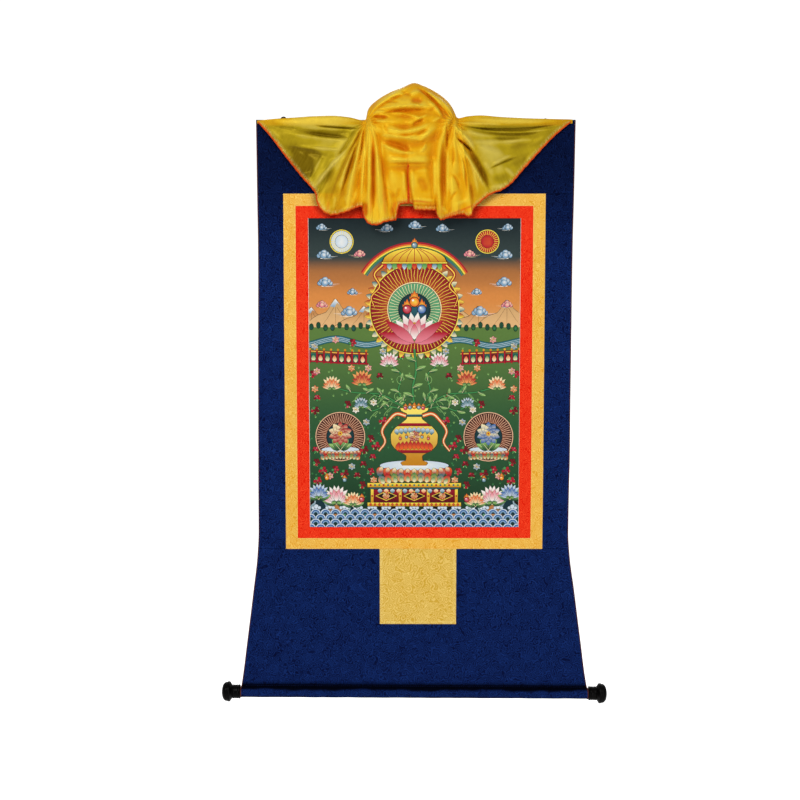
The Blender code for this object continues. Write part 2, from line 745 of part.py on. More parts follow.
def along(stations, part, t):
    """A point t of the way between stations part and part + 1, on one smooth curve."""
    p1, p2 = stations[part], stations[part + 1]
    p0 = stations[part - 1] if part else p1 * 2 - p2
    p3 = stations[part + 2] if part + 2 < len(stations) else p2 * 2 - p1
    s0 = max((p1 - p0).length, mm(0.5)) ** 0.5
    s1 = max((p2 - p1).length, mm(0.5)) ** 0.5
    s2 = max((p3 - p2).length, mm(0.5)) ** 0.5
    slope1 = ((p1 - p0) / s0 - (p2 - p0) / (s0 + s1) + (p2 - p1) / s1) * s1
    slope2 = ((p2 - p1) / s1 - (p3 - p1) / (s1 + s2) + (p3 - p2) / s2) * s1
    t2, t3 = t * t, t * t * t
    return (
        p1 * (2 * t3 - 3 * t2 + 1)
        + slope1 * (t3 - 2 * t2 + t)
        + p2 * (3 * t2 - 2 * t3)
        + slope2 * (t3 - t2)
    )


def swag_height(x, z):
    """How far the folds that lie across the veil lift it at a place."""
    lift = 0.0
    for row in SWAGS:
        t = (x / mm(1) - row.x0) / (row.x1 - row.x0)
        if 0.0 < t < 1.0:
            middle = row.z0 + (row.z1 - row.z0) * t - row.sag * 4 * t * (1 - t)
            away = (z / mm(1) - middle) / row.width
            fade = smooth(t / 0.25) * smooth((1 - t) / 0.25)
            lift += mm(row.height) * fade * exp(-1.6 * away * away)
    return lift


def veil_rows():
    """For each row of the veil's grid: which stretch of the line it is on, and how far."""
    cells = (
        CELLS_TO_BACK,
        CELLS_TO_CREST,
        CELLS_TO_SHOULDER,
        CELLS_TO_WAIST,
        CELLS_TO_CHIN,
        CELLS_TO_HEM,
    )
    rows = [(part, i / count) for part, count in enumerate(cells) for i in range(count)]
    return rows + [(len(cells) - 1, 1.0)]


def make_veil():
    """The satin veil: wings, fans of folds below the two gathers, and the hood between."""
    rows = veil_rows()
    lines = [veil_stations(line) for line in range(LAST_LINE + 1)]
    folds = [mm(read_rows(FOLDS, line, "line", "height")) for line in range(LAST_LINE + 1)]
    shoulder = 3

    def place(i, j):
        part, t = rows[j]
        point = along(lines[i], part, t)
        if part >= shoulder:
            below = (part - shoulder + t) / 3
            out = point.y + folds[i] * smooth(below / 0.45) + swag_height(point.x, point.z)
            ease = smooth(below / 0.05)
            point.y = max(point.y + (out - point.y) * ease, VEIL_CLEAR)
        return Vector((point.x, FRONT_Y - point.y, point.z))

    sheet("veil", LAST_LINE, len(rows) - 1, place, VEIL_CLOTH, "yellow_satin", SATIN, soft=True)


# ---------------------------------------------------------------- hanging loops


def make_loops():
    """Cord loops sewn behind the slat; their tops stand over the edge."""
    y = SLAT_DEPTH / 2 + SLEEVE_OFFSET + CLOTH / 2 + GAP + LOOP_RADIUS
    for row in LOOPS:
        x, half = mm(row.x), mm(row.half_width)
        height = mm(row.above) - LOOP_RADIUS - LOOP_BEND_Z
        points = [Vector((x - half, y, LOOP_FOOT_Z))]
        for angle in spread(pi, 0.0, 8):
            z = LOOP_BEND_Z + height * max(sin(angle), 0.0) ** 0.8
            points.append(Vector((x + half * cos(angle), y, z)))
        points.append(Vector((x + half, y, LOOP_FOOT_Z)))
        tube(row.name, points, LOOP_RADIUS, "dark_cord", CORD)


def main():
    """Clears the scene and builds every piece."""
    for obj in list(bpy.data.objects):
        bpy.data.objects.remove(obj, do_unlink=True)
    make_slat()
    make_top_panel()
    make_side_panels()
    make_bottom_panel()
    make_border("gold", GOLD_OUTER, RED_OUTER, "gold_brocade", GOLD)
    make_border("red", RED_OUTER, PICTURE, "red_brocade", RED)
    flat_piece("painting", PICTURE, 7, 10, "painted_canvas", CANVAS)
    flat_piece("door_patch", DOOR, 3, 3, "gold_damask", GOLD)
    make_piping("edge_piping_left", -1)
    make_piping("edge_piping_right", 1)
    make_roller()
    make_veil()
    make_loops()


main()
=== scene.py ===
"""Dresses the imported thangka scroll: brocade mounting, painted canvas, cords, knobs and veil.

The scroll hangs in the X-Z plane and its front faces -Y, as in the CAD model. Objects are in
metres; tables and the painting's drawing are in millimetres.
"""

import logging
from dataclasses import dataclass, field
from enum import Enum
from math import acos, atan2, cos, pi, radians, sin, sqrt, tau
from typing import Callable, NamedTuple, Sequence

import bpy
import numpy as np
from mathutils import Matrix, Vector
from mathutils.geometry import delaunay_2d_cdt


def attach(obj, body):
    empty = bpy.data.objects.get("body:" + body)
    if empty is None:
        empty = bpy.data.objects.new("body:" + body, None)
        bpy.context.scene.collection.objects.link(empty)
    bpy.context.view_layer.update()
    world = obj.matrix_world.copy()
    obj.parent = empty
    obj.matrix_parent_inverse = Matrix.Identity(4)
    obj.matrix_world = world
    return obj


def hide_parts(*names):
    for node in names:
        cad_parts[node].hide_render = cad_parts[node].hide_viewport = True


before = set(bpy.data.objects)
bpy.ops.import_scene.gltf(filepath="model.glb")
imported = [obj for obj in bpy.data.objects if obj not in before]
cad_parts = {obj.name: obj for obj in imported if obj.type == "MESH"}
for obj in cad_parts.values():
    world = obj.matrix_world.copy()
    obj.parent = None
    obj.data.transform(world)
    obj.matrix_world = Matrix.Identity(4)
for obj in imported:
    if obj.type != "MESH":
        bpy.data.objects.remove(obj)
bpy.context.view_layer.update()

MM = 0.001
BODY = "root"
CRISP = radians(50)  # an edge that turns more than this is shaded sharp
WAVE_BAND = 0.314  # the width of a stripe of the wave texture at scale 1
log = logging.getLogger("thangka")

Array = np.ndarray
Colour = tuple[float, float, float]


# ---------------------------------------------------------------- numbers


def smooth(share: Array | float) -> Array:
    """0 to 1 with soft ends, for a share in and beyond that range."""
    share = np.clip(share, 0.0, 1.0)
    return share * share * (3.0 - 2.0 * share)


def cubic(first: Array, second: Array, slope: Array, next_slope: Array, t: Array | float) -> Array:
    """The smooth way from one value to the next, a share t along, with a slope at each end.

    Args:
        first, second: the values.
        slope, next_slope: the curve's slopes there, per whole step.
        t: the share of the step.

    Returns:
        The value there.
    """
    t2, t3 = t * t, t * t * t
    return (
        first * (2 * t3 - 3 * t2 + 1)
        + slope * (t3 - 2 * t2 + t)
        + second * (3 * t2 - 2 * t3)
        + next_slope * (t3 - t2)
    )


def read_between(keys: Sequence[float], values: Sequence[float], at: Array | float) -> Array:
    """Reads a row of values on one smooth curve that doesn't overshoot them.

    Args:
        keys: where each value stands, rising.
        values: the value at each key.
        at: the places to read.

    Returns:
        The values at those places; beyond the ends, the end values.
    """
    keys, values = np.asarray(keys, float), np.asarray(values, float)
    step = np.diff(keys)
    rise = np.diff(values) / step
    slope = np.zeros_like(values)
    slope[0], slope[-1] = rise[0], rise[-1]
    before, after = rise[:-1], rise[1:]
    near, far = 2 * step[1:] + step[:-1], step[1:] + 2 * step[:-1]
    safe_before = np.where(before == 0, 1.0, before)
    safe_after = np.where(after == 0, 1.0, after)
    mean = (near + far) / (near / safe_before + far / safe_after)
    slope[1:-1] = np.where(before * after > 0, mean, 0.0)
    at = np.clip(np.asarray(at, float), keys[0], keys[-1])
    n = np.clip(np.searchsorted(keys, at, side="right") - 1, 0, len(step) - 1)
    t = (at - keys[n]) / step[n]
    return cubic(values[n], values[n + 1], slope[n] * step[n], slope[n + 1] * step[n], t)


@dataclass(frozen=True)
class Table:
    """Rows of measurements under named columns, in mm; the first column is the key."""

    columns: str
    rows: tuple[tuple[float, ...], ...]

    def read(self, column: str, at: Array | float) -> Array:
        """A column's values between the rows, in mm.

        Args:
            column: the column's name.
            at: the places to read, in the key's unit.

        Returns:
            One value for each place.
        """
        n = self.columns.split().index(column)
        keys = [row[0] for row in self.rows]
        return read_between(keys, [row[n] for row in self.rows], at)


def spread(start: float, end: float, step: float) -> Array:
    """Even steps from start to end, each at most the given step long."""
    return np.linspace(start, end, max(int(np.ceil(abs(end - start) / step)), 1) + 1)


def from_hex(code: str) -> Colour:
    """A colour written as on a paint chart, rrggbb, in the linear values Blender mixes.

    Args:
        code: six hexadecimal digits.

    Returns:
        Red, green and blue, 0 to 1.
    """
    parts = (int(code[n : n + 2], 16) / 255 for n in (0, 2, 4))
    red, green, blue = (c / 12.92 if c <= 0.04045 else ((c + 0.055) / 1.055) ** 2.4 for c in parts)
    return red, green, blue


def unit(vectors: Array) -> Array:
    """The vectors at length 1."""
    return vectors / np.maximum(np.linalg.norm(vectors, axis=-1, keepdims=True), 1e-12)


def along_path(points: Array) -> Array:
    """How far each point of a path is from its start, along it."""
    return np.concatenate([[0.0], np.linalg.norm(np.diff(points, axis=0), axis=1).cumsum()])


# ---------------------------------------------------------------- finishes


Piece = bpy.types.Object
Material = bpy.types.Material
Socket = bpy.types.NodeSocket
Value = Socket | float | tuple | str


class Nodes:
    """The node tree of one material, with short ways to add to it."""

    def __init__(self, name: str, **sockets: Value) -> None:
        """Starts a material.

        Args:
            name: the material's name.
            sockets: values for the shader's own sockets, with _ for a space.
        """
        self.material = bpy.data.materials.new(name)
        self.material.use_nodes = True
        self.tree = self.material.node_tree
        self.shader = self.tree.nodes["Principled BSDF"]
        for key, value in sockets.items():
            self.feed(self.shader.inputs[key.replace("_", " ").title().replace("Ior", "IOR")], value)

    def feed(self, socket: Socket, value: Value) -> None:
        """Links a socket to the value, or sets it where the value is a number or a colour.

        Args:
            socket: an input.
            value: a socket, a number, a vector, or a colour as numbers or as rrggbb.
        """
        if isinstance(value, Socket):
            self.tree.links.new(value, socket)
        elif isinstance(value, str):
            socket.default_value = (*from_hex(value), 1.0)
        elif isinstance(value, tuple) and socket.type == "RGBA":
            socket.default_value = (*value, 1.0)
        else:
            socket.default_value = value

    def add(self, kind: str, values: dict | None = None, out: int | str = 0, **settings: object) -> Socket:
        """Adds a node.

        Args:
            kind: the node's type without its prefix.
            values: what goes into its inputs, by name or number.
            out: the output that is handed back.
            settings: the node's own settings.

        Returns:
            The output socket.
        """
        node = self.tree.nodes.new("ShaderNode" + kind)
        for key, value in settings.items():
            setattr(node, key, value)
        for key, value in (values or {}).items():
            self.feed(node.inputs[key], value)
        return node.outputs[out]

    def math(self, operation: str, *values: Value, clamp: bool = False) -> Socket:
        """The result of a Math node on one to three values."""
        return self.add("Math", dict(enumerate(values)), operation=operation, use_clamp=clamp)

    def times(self, first: Value, second: Value) -> Socket:
        """One value times another."""
        return self.math("MULTIPLY", first, second)

    def line(self, value: Value, slope: Value, start: Value, clamp: bool = False) -> Socket:
        """A value times a slope, plus a start."""
        return self.math("MULTIPLY_ADD", value, slope, start, clamp=clamp)

    def edge(self, height: Value, sharpness: float, level: float = 0.0) -> Socket:
        """0 below a level and 1 above it, soft over a narrow band."""
        height = self.math("SUBTRACT", height, level) if level else height
        return self.line(height, sharpness, 0.5, clamp=True)

    def mix(self, share: Value, first: Value, second: Value, strength: float = 1, way: str = "MIX") -> Socket:
        """Mixes two colours.

        Args:
            share: how much of the second one there is.
            first: the colour underneath.
            second: the colour laid over it.
            strength: what the share is weakened to first.
            way: how they mix.

        Returns:
            The mixed colour.
        """
        share = self.times(share, strength) if strength < 1 else share
        return self.add("Mix", {0: share, 6: first, 7: second}, out=2, data_type="RGBA", blend_type=way)

    def noise(self, at: Socket, size: float, detail: float, stretch: Sequence[float] = (1, 1, 1)) -> Socket:
        """Soft noise with lumps of a given size in metres, stretched along an axis if asked.

        Args:
            at: the place.
            size: of the lumps.
            detail: how many finer layers it has.
            stretch: along each axis.

        Returns:
            The noise, 0 to 1.
        """
        scale = tuple(1 / (size * part) for part in stretch)
        at = self.add("Mapping", {"Vector": at, "Scale": scale})
        return self.add("TexNoise", {"Vector": at, "Scale": 1.0, "Detail": detail})

    def wave(self, at: Socket, size: float, distortion: float, detail: float, way: str) -> Socket:
        """Stripes of a given width in metres, across X, Y or the diagonal."""
        values = {"Vector": at, "Scale": WAVE_BAND / size, "Distortion": distortion, "Detail": detail}
        return self.add("TexWave", values, out="Fac", bands_direction=way)

    def weave(self, at: Socket, thread: float) -> Socket:
        """The height of woven threads of a given width, 0 to 1."""
        both = (self.wave(at, thread * 2, 0.6, 1.0, way) for way in "XY")
        return self.times(self.math("ADD", *both), 0.5)

    def attribute(self, name: str) -> Socket:
        """A value that the mesh carries at its points."""
        return self.add("Attribute", out="Fac", attribute_name=name)

    def cloth(self) -> Socket:
        """Where a point lies on the flat cloth, in metres: across, then down."""
        return self.add("UVMap", uv_map="Cloth")

    def bump(self, height: Value, distance: float, strength: float, under: Socket | None = None) -> Socket:
        """A bump of a given height in metres, over another one if given."""
        values = {"Height": height, "Distance": distance, "Strength": strength}
        return self.add("Bump", values if under is None else values | {"Normal": under})

    def dress(self, colour: Value, roughness: Value | None = None, normal: Value | None = None) -> Material:
        """Feeds the shader's main sockets, those that are given, and hands back the material.

        Args:
            colour, roughness, normal: what goes into each socket.

        Returns:
            The material.
        """
        for name, value in (("Base Color", colour), ("Roughness", roughness), ("Normal", normal)):
            if value is not None:
                self.feed(self.shader.inputs[name], value)
        return self.material


def dimmed(code: str, share: float) -> Colour:
    """A share of a colour's light."""
    return tuple(share * part for part in from_hex(code))


class Side(Enum):
    """Which side of a woven cloth shows."""

    FACE = "face"
    REVERSE = "reverse"


@dataclass(frozen=True)
class Brocade:
    """A figured cloth: threads, a woven repeat of flower heads and curls, and soft wear."""

    name: str
    ground: str
    figure: str
    repeat: float
    petals: int = 6
    roughness: float = 0.6
    sheen: float = 0.05
    specular: float = 0.08
    contrast: float = 1.0
    thread: float = 0.0009
    # edge: a lighter colour painted along the folded edges, a painted highlight.
    edge: str | None = None
    # shaded: the face takes the painted shade of the mesh's shade mark.
    shaded: bool = False

    def woven_figure(self, n: Nodes, at: Socket) -> Socket:
        """1 on the woven figure and 0 on its ground: outlined flower heads among fine curls.

        Args:
            n: the material's nodes.
            at: the place on the cloth.

        Returns:
            The figure's mask.
        """
        share = 1 / self.repeat
        placed = n.add("Mapping", {"Vector": at, "Scale": (share,) * 3, "Rotation": (0, 0, pi / 4)})
        wander = n.add("TexNoise", {"Vector": placed, "Scale": 2.1, "Detail": 2.0}, out="Color")
        drift = n.add("VectorMath", {0: wander, 1: (0.5, 0.5, 0.5)}, operation="SUBTRACT")
        drift = n.add("VectorMath", {0: drift, "Scale": 0.55}, operation="SCALE")
        placed = n.add("VectorMath", {0: placed, 1: drift}, operation="ADD")
        cell = {"Vector": placed, "Scale": 1.0, "Randomness": 0.35}
        spot = n.add("TexVoronoi", cell, out="Position", voronoi_dimensions="2D")
        far = n.add("TexVoronoi", cell, out="Distance", voronoi_dimensions="2D")
        away = n.add("VectorMath", {0: placed, 1: spot}, operation="SUBTRACT")
        across, up = (n.add("SeparateXYZ", {0: away}, out=key) for key in (0, 1))
        petal = n.math("COSINE", n.times(n.math("ARCTAN2", up, across), self.petals))
        reach = n.math("SUBTRACT", far, n.times(petal, 0.04))
        rings = n.edge(n.math("SINE", n.times(reach, 62.0)), 1.4)
        inside = n.edge(n.math("SUBTRACT", 0.27, reach), 30)
        curl = {"Vector": placed, "Scale": 2.6, "Randomness": 1.0, "Smoothness": 0.4}
        curl = n.add("TexVoronoi", curl, out="Distance", voronoi_dimensions="2D", feature="SMOOTH_F1")
        curl = n.edge(n.math("SINE", n.times(curl, 30.0)), 1.6)
        return n.mix(inside, n.times(curl, 0.8), rings)

    def material(self, side: Side = Side.FACE) -> Material:
        """The cloth's material.

        Args:
            side: the face, or the duller reverse without its figure.

        Returns:
            A new material.
        """
        face = side is Side.FACE
        gloss = {"roughness": self.roughness, "specular_ior_level": self.specular}
        sheen = {"sheen_weight": self.sheen, "sheen_roughness": 0.5, "sheen_tint": self.figure}
        n = Nodes(f"{self.name}_{side.value}", **gloss, **sheen)
        at = n.cloth()
        threads = n.weave(at, self.thread)
        height = n.times(threads, 0.35)
        if face:
            woven = self.woven_figure(n, at)
            colour = n.mix(n.times(woven, self.contrast), self.ground, self.figure)
            height = n.math("ADD", height, n.times(woven, 0.65))
            rough = n.line(woven, -0.1, self.roughness)
        else:
            colour = n.mix(0.35, self.ground, dimmed(self.figure, 0.5))
            rough = self.roughness + 0.15
        colour = n.mix(n.math("SUBTRACT", 1.0, threads), colour, dimmed(self.ground, 0.72), 0.28)
        colour = n.mix(n.edge(n.noise(at, 0.035, 3.0), 2.2, 0.5), colour, self.figure, 0.16)
        # Painted shade from the mesh's shade mark: the face darkened towards a near black of its ground.
        if self.shaded and face:
            colour = n.mix(n.attribute("shade"), colour, dimmed(self.ground, 0.04))
        # Painted highlight along the folded edges, from the mesh's edge mark.
        if self.edge:
            colour = n.mix(n.attribute("edge"), colour, self.edge, 0.15)
        return n.dress(colour, rough, n.bump(height, 0.00022, 0.55))


@dataclass(frozen=True)
class PlainCotton:
    """The unpainted back of the canvas: plain weave with slubs."""

    name: str = "canvas_back"
    pale: str = "cfc3a8"
    slub: str = "a8977a"

    def material(self) -> Material:
        """The cotton's material."""
        n = Nodes(self.name, roughness=0.85, sheen_weight=0.1)
        at = n.cloth()
        weave = n.weave(at, 0.0011)
        slub = n.noise(at, 0.02, 2.0, (6, 0.25, 1))
        colour = n.mix(weave, dimmed(self.pale, 0.7), self.pale, 0.3)
        colour = n.mix(slub, colour, self.slub, 0.3)
        return n.dress(colour, None, n.bump(n.math("ADD", weave, slub), 0.0002, 0.5))


@dataclass(frozen=True)
class MineralPaint:
    """Matt mineral colours on sized cotton, as each face carries them."""

    name: str = "mineral_paint"
    wash: Colour = (0.4, 0.36, 0.32)

    def material(self) -> Material:
        """The paint's material."""
        n = Nodes(self.name, roughness=0.62, specular_ior_level=0.12)
        at = n.cloth()
        painted = n.add("Attribute", out="Color", attribute_name="Paint")
        wash = n.edge(n.noise(at, 0.006, 4.0), 1.6, 0.5)
        painted = n.mix(wash, painted, self.wash, 0.13, "MULTIPLY")
        return n.dress(painted, n.line(wash, 0.12, 0.56), n.bump(n.weave(at, 0.0008), 0.00008, 0.35))


@dataclass(frozen=True)
class Satin:
    """Thin yellow satin: olive where the navy cloth shows through one layer, golden where it
    is gathered or lies over the borders, with painted shade in its creases' troughs, orange where
    it is golden, and a painted highlight on their ridges."""

    name: str = "yellow_satin"
    over_dark: str = "aa9216"
    golden: str = "e0a00a"
    # Painted shade in the creases' troughs: orange where golden, dark olive brown elsewhere, darkest brown in
    # the pits.
    gold_trough_shade: str = "c86800"
    deep: str = "5c4600"
    pit_shade: str = "3c2000"
    # Painted shade between the hem's ruffles.
    ruffle_shade: str = "9a7410"
    # Painted highlight on the creases' ridges; light also tints the sheen, the gloss and the streaks.
    light: str = "f2d23c"
    pale: str = "d2be5c"
    # Painted highlight on the hem's ruffles.
    ruffle_highlight: str = "eee49a"
    bound: str = "dc5c10"

    def hemmed(self, n: Nodes, at: Socket, colour: Socket, frill: Socket) -> Socket:
        """Lays the hem's painted highlight on its ruffles, the painted shade between them and its orange
        binding over the cloth's colour.

        Args:
            n: the material's nodes.
            at: the place on the cloth.
            colour: the cloth's own.
            frill: the mask of its ruffles.

        Returns:
            The colour with its hem.
        """
        hem = n.attribute("hem")
        # Painted highlight on the ruffles, where the frill bump stands high, and painted shade between them.
        colour = n.mix(n.times(hem, frill), colour, self.ruffle_highlight, 0.6)
        patch = n.edge(n.noise(at, 0.016, 2.0, (1, 0.6, 1)), 5.0, 0.5)
        colour = n.mix(n.times(hem, n.math("SUBTRACT", 1.0, frill)), colour, self.ruffle_shade, 0.45)
        bound = n.edge(n.line(n.mix(0.6, frill, patch), 0.55, hem), 7.0, 0.92)
        glow = n.times(n.attribute("glow"), 0.8)
        return n.mix(n.math("MAXIMUM", n.times(bound, 0.65), glow), colour, self.bound)

    def material(self) -> Material:
        """The satin's material."""
        sheen = {"sheen_weight": 0.08, "sheen_roughness": 0.35, "sheen_tint": self.light}
        gloss = {"specular_ior_level": 0.75, "specular_tint": self.light, "anisotropic": 0.45}
        n = Nodes(self.name, roughness=0.36, **sheen, **gloss)
        at = n.cloth()
        gold, crease = n.attribute("gold"), n.attribute("crease")
        # Painted light and shade from the crease mark: painted shade in the troughs, darkest in the pits, and
        # a painted highlight on the ridges.
        trough, ridge = (n.math("MULTIPLY", crease, sign, clamp=True) for sign in (-1.0, 1.0))
        colour = n.mix(gold, self.over_dark, self.golden)
        colour = n.mix(trough, colour, n.mix(gold, self.deep, self.gold_trough_shade))
        colour = n.mix(n.line(crease, -1.0, -1.0, clamp=True), colour, self.pit_shade)
        colour = n.mix(ridge, colour, n.mix(gold, self.pale, self.light), 0.85)
        frill = n.edge(n.noise(at, 0.003, 3.0, (0.7, 2.5, 1)), 5.0, 0.5)
        colour = self.hemmed(n, at, colour, frill)
        # Lighter streaks along the cloth, toward the highlight colour: painted sheen.
        streak = n.edge(n.noise(at, 0.004, 3.0, (1, 12, 1)), 2.0, 0.5)
        colour = n.mix(streak, colour, self.light, 0.08)
        soft = n.bump(n.noise(at, 0.009, 2.0, (1, 2.5, 1)), 0.0008, 0.35)
        frilled = n.bump(n.times(frill, n.attribute("hem")), 0.0012, 0.8, soft)
        fine = n.bump(n.noise(at, 0.0009, 2.0, (1, 5, 1)), 0.0001, 0.3, frilled)
        return n.dress(colour, n.line(streak, 0.1, 0.34), fine)


@dataclass(frozen=True)
class Thread:
    """Twisted or wrapped thread; the stripes follow the plies."""

    name: str
    colour: str
    second: str
    pitch: float

    def material(self) -> Material:
        """The thread's material."""
        n = Nodes(self.name, roughness=0.6, specular_ior_level=0.04)
        at = n.cloth()
        colour = n.mix(n.wave(at, self.pitch, 1.5, 2.0, "DIAGONAL"), self.colour, self.second, 0.5)
        colour = n.mix(n.edge(n.noise(at, 0.003, 3.0), 6.0, 0.52), colour, self.second, 0.35)
        return n.dress(colour, None, n.bump(n.noise(at, 0.0006, 3.0), 0.0002, 0.6))


@dataclass(frozen=True)
class Lacquer:
    """Black lacquer on turned wood: faint turning lines, rubbed and dusty in places."""

    name: str = "black_lacquer"
    black: str = "030303"
    rubbed: str = "110d0b"

    def material(self) -> Material:
        """The lacquer's material."""
        n = Nodes(self.name, roughness=0.3, specular_ior_level=0.05, coat_weight=0.03, coat_roughness=0.14)
        at = n.add("TexCoord", out="Object")
        worn = n.edge(n.noise(at, 0.011, 4.0), 5.0, 0.6)
        colour = n.mix(worn, self.black, self.rubbed, 0.3)
        lines = n.bump(n.noise(at, 0.0006, 2.0, (1, 40, 40)), 0.00015, 0.3)
        return n.dress(colour, n.line(worn, 0.25, 0.3), lines)


@dataclass(frozen=True)
class BattenWood:
    """Dark stained wood with its grain along X."""

    name: str = "batten_wood"
    dark: str = "1c1410"
    light: str = "3b2a1e"
    pore: str = "0d0907"

    def material(self) -> Material:
        """The wood's material."""
        n = Nodes(self.name, roughness=0.55)
        at = n.add("TexCoord", out="Object")
        grain = n.noise(at, 0.004, 5.0, (30, 1, 1))
        pores = n.edge(n.noise(at, 0.0011, 3.0, (14, 1, 1)), 12.0, 0.56)
        colour = n.mix(pores, n.mix(grain, self.dark, self.light), self.pore, 0.5)
        return n.dress(colour, n.line(grain, 0.2, 0.45), n.bump(pores, 0.0002, 0.4))


NAVY = Brocade("navy_brocade", "040a2f", "193981", 0.034, 5, 0.75, 0.0, 0.025, 0.6, shaded=True)
GOLD = Brocade("gold_brocade", "e8a026", "ffd66e", 0.030, 6, 0.6, 0.05, 0.04, 0.9, edge="ffe2a0", shaded=True)
RED = Brocade("red_brocade", "e41600", "ff4c28", 0.028, 5, 0.6, 0.05, 0.03, shaded=True)
DOOR_GOLD = Brocade("door_damask", "d4a430", "fadc80", 0.040, 8, 0.6, 0.05, 0.05, 0.8, edge="fde496")
BOUND_EDGE = Thread("piping", "42201e", "6a3c34", 0.0022)
DARK_CORD = Thread("dark_cord", "22130f", "3c2620", 0.0024)
OVERLOCK = Thread("overlock_thread", "c02c06", "e4681c", 0.0016)
NAVY_THREAD = Thread("navy_thread", "141f4a", "26366e", 0.0012)


# ---------------------------------------------------------------- making meshes


def only(piece: Piece) -> None:
    """Leaves one object selected and active.

    Args:
        piece: the object.
    """
    bpy.ops.object.select_all(action="DESELECT")
    piece.select_set(True)
    bpy.context.view_layer.objects.active = piece


def new_piece(name: str, points: Array, faces: Sequence, cloth: Array, **marks: Array) -> Piece:
    """Makes a mesh object at the origin.

    Args:
        name: the piece's name.
        points: its corners.
        faces: the corners of each face, counted so that they turn left as seen from outside.
        cloth: for each corner, where it lies on the flat cloth or along the cord.
        marks: values that the material reads at each corner.

    Returns:
        The object, shaded smooth.
    """
    mesh = bpy.data.meshes.new(name)
    faces = faces.tolist() if isinstance(faces, np.ndarray) else faces
    mesh.from_pydata(np.asarray(points).reshape(-1, 3).tolist(), [], faces)
    corners = np.empty(len(mesh.loops), np.int32)
    mesh.loops.foreach_get("vertex_index", corners)
    layer = mesh.uv_layers.new(name="Cloth")
    layer.uv.foreach_set("vector", np.asarray(cloth, np.float32).reshape(-1, 2)[corners].ravel())
    for key, values in marks.items():
        mark = mesh.attributes.new(key, "FLOAT", "POINT")
        mark.data.foreach_set("value", np.asarray(values, np.float32).ravel())
    mesh.shade_smooth()
    mesh.update()
    piece = bpy.data.objects.new(name, mesh)
    bpy.context.scene.collection.objects.link(piece)
    return piece


def edit(piece: Piece, operator: Callable, **options: object) -> None:
    """Runs one edit-mode operator on all of a piece's mesh.

    Args:
        piece: the object.
        operator: one of bpy.ops.mesh.
        options: the operator's own.
    """
    only(piece)
    bpy.ops.object.mode_set(mode="EDIT")
    bpy.ops.mesh.select_all(action="SELECT")
    operator(**options)
    bpy.ops.object.mode_set(mode="OBJECT")


def paired(first: Array, second: Array) -> Array:
    """Two grids of values as one grid of pairs."""
    return np.stack(np.broadcast_arrays(first, second), -1)


def grid_faces(rows: int, columns: int, closed: bool = False) -> Array:
    """The faces of a grid of points that runs down in rows and to the right in columns.

    Args:
        rows: how many rows of points.
        columns: how many points in a row.
        closed: joins the last column back to the first.

    Returns:
        Four corners for each face.
    """
    number = np.arange(rows * columns).reshape(rows, columns)
    if closed:
        number = np.concatenate([number, number[:, :1]], 1)
    low_left, low_right = number[1:, :-1], number[1:, 1:]
    return np.stack([low_left, low_right, number[:-1, 1:], number[:-1, :-1]], -1).reshape(-1, 4)


def thicken(piece: Piece, thickness: float, face: Material, reverse: Material) -> None:
    """Gives a sheet its thickness, its two materials and crisp edges.

    Args:
        piece: the sheet, which is the middle of its thickness.
        thickness: of the cloth.
        face: the material of the side that faces outwards.
        reverse: the material of the other side.
    """
    piece.data.materials.append(face)
    piece.data.materials.append(reverse)
    wall = piece.modifiers.new("Thickness", "SOLIDIFY")
    wall.thickness, wall.offset, wall.material_offset = thickness, 0.0, 1
    only(piece)
    bpy.ops.object.modifier_apply(modifier=wall.name)
    bpy.ops.object.shade_smooth_by_angle(angle=CRISP)


def settle(piece: Piece, slot: str, *nodes: str) -> Piece:
    """Puts a piece on the body and hides the CAD nodes it stands for.

    Args:
        piece: the object.
        slot: not used.
        nodes: the CAD nodes.

    Returns:
        The piece.
    """
    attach(piece, BODY)
    if nodes:
        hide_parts(*nodes)
    log.info("%s: %d faces", piece.name, len(piece.data.polygons))
    return piece


def laid_cloth(name: str, points: Array, cloth: Array, finish: Brocade, **marks: Array) -> Piece:
    """Makes one piece of the mounting's cloth.

    Args:
        name: the piece's name.
        points: a grid of points in the middle of its thickness.
        cloth: where each lies on the flat cloth.
        finish: its brocade.
        marks: values that the brocade reads at each point.

    Returns:
        The piece, with its thickness and both materials.
    """
    piece = new_piece(name, points, grid_faces(*points.shape[:2]), cloth, **marks)
    thicken(piece, HUNG.cloth, finish.material(), finish.material(Side.REVERSE))
    return piece


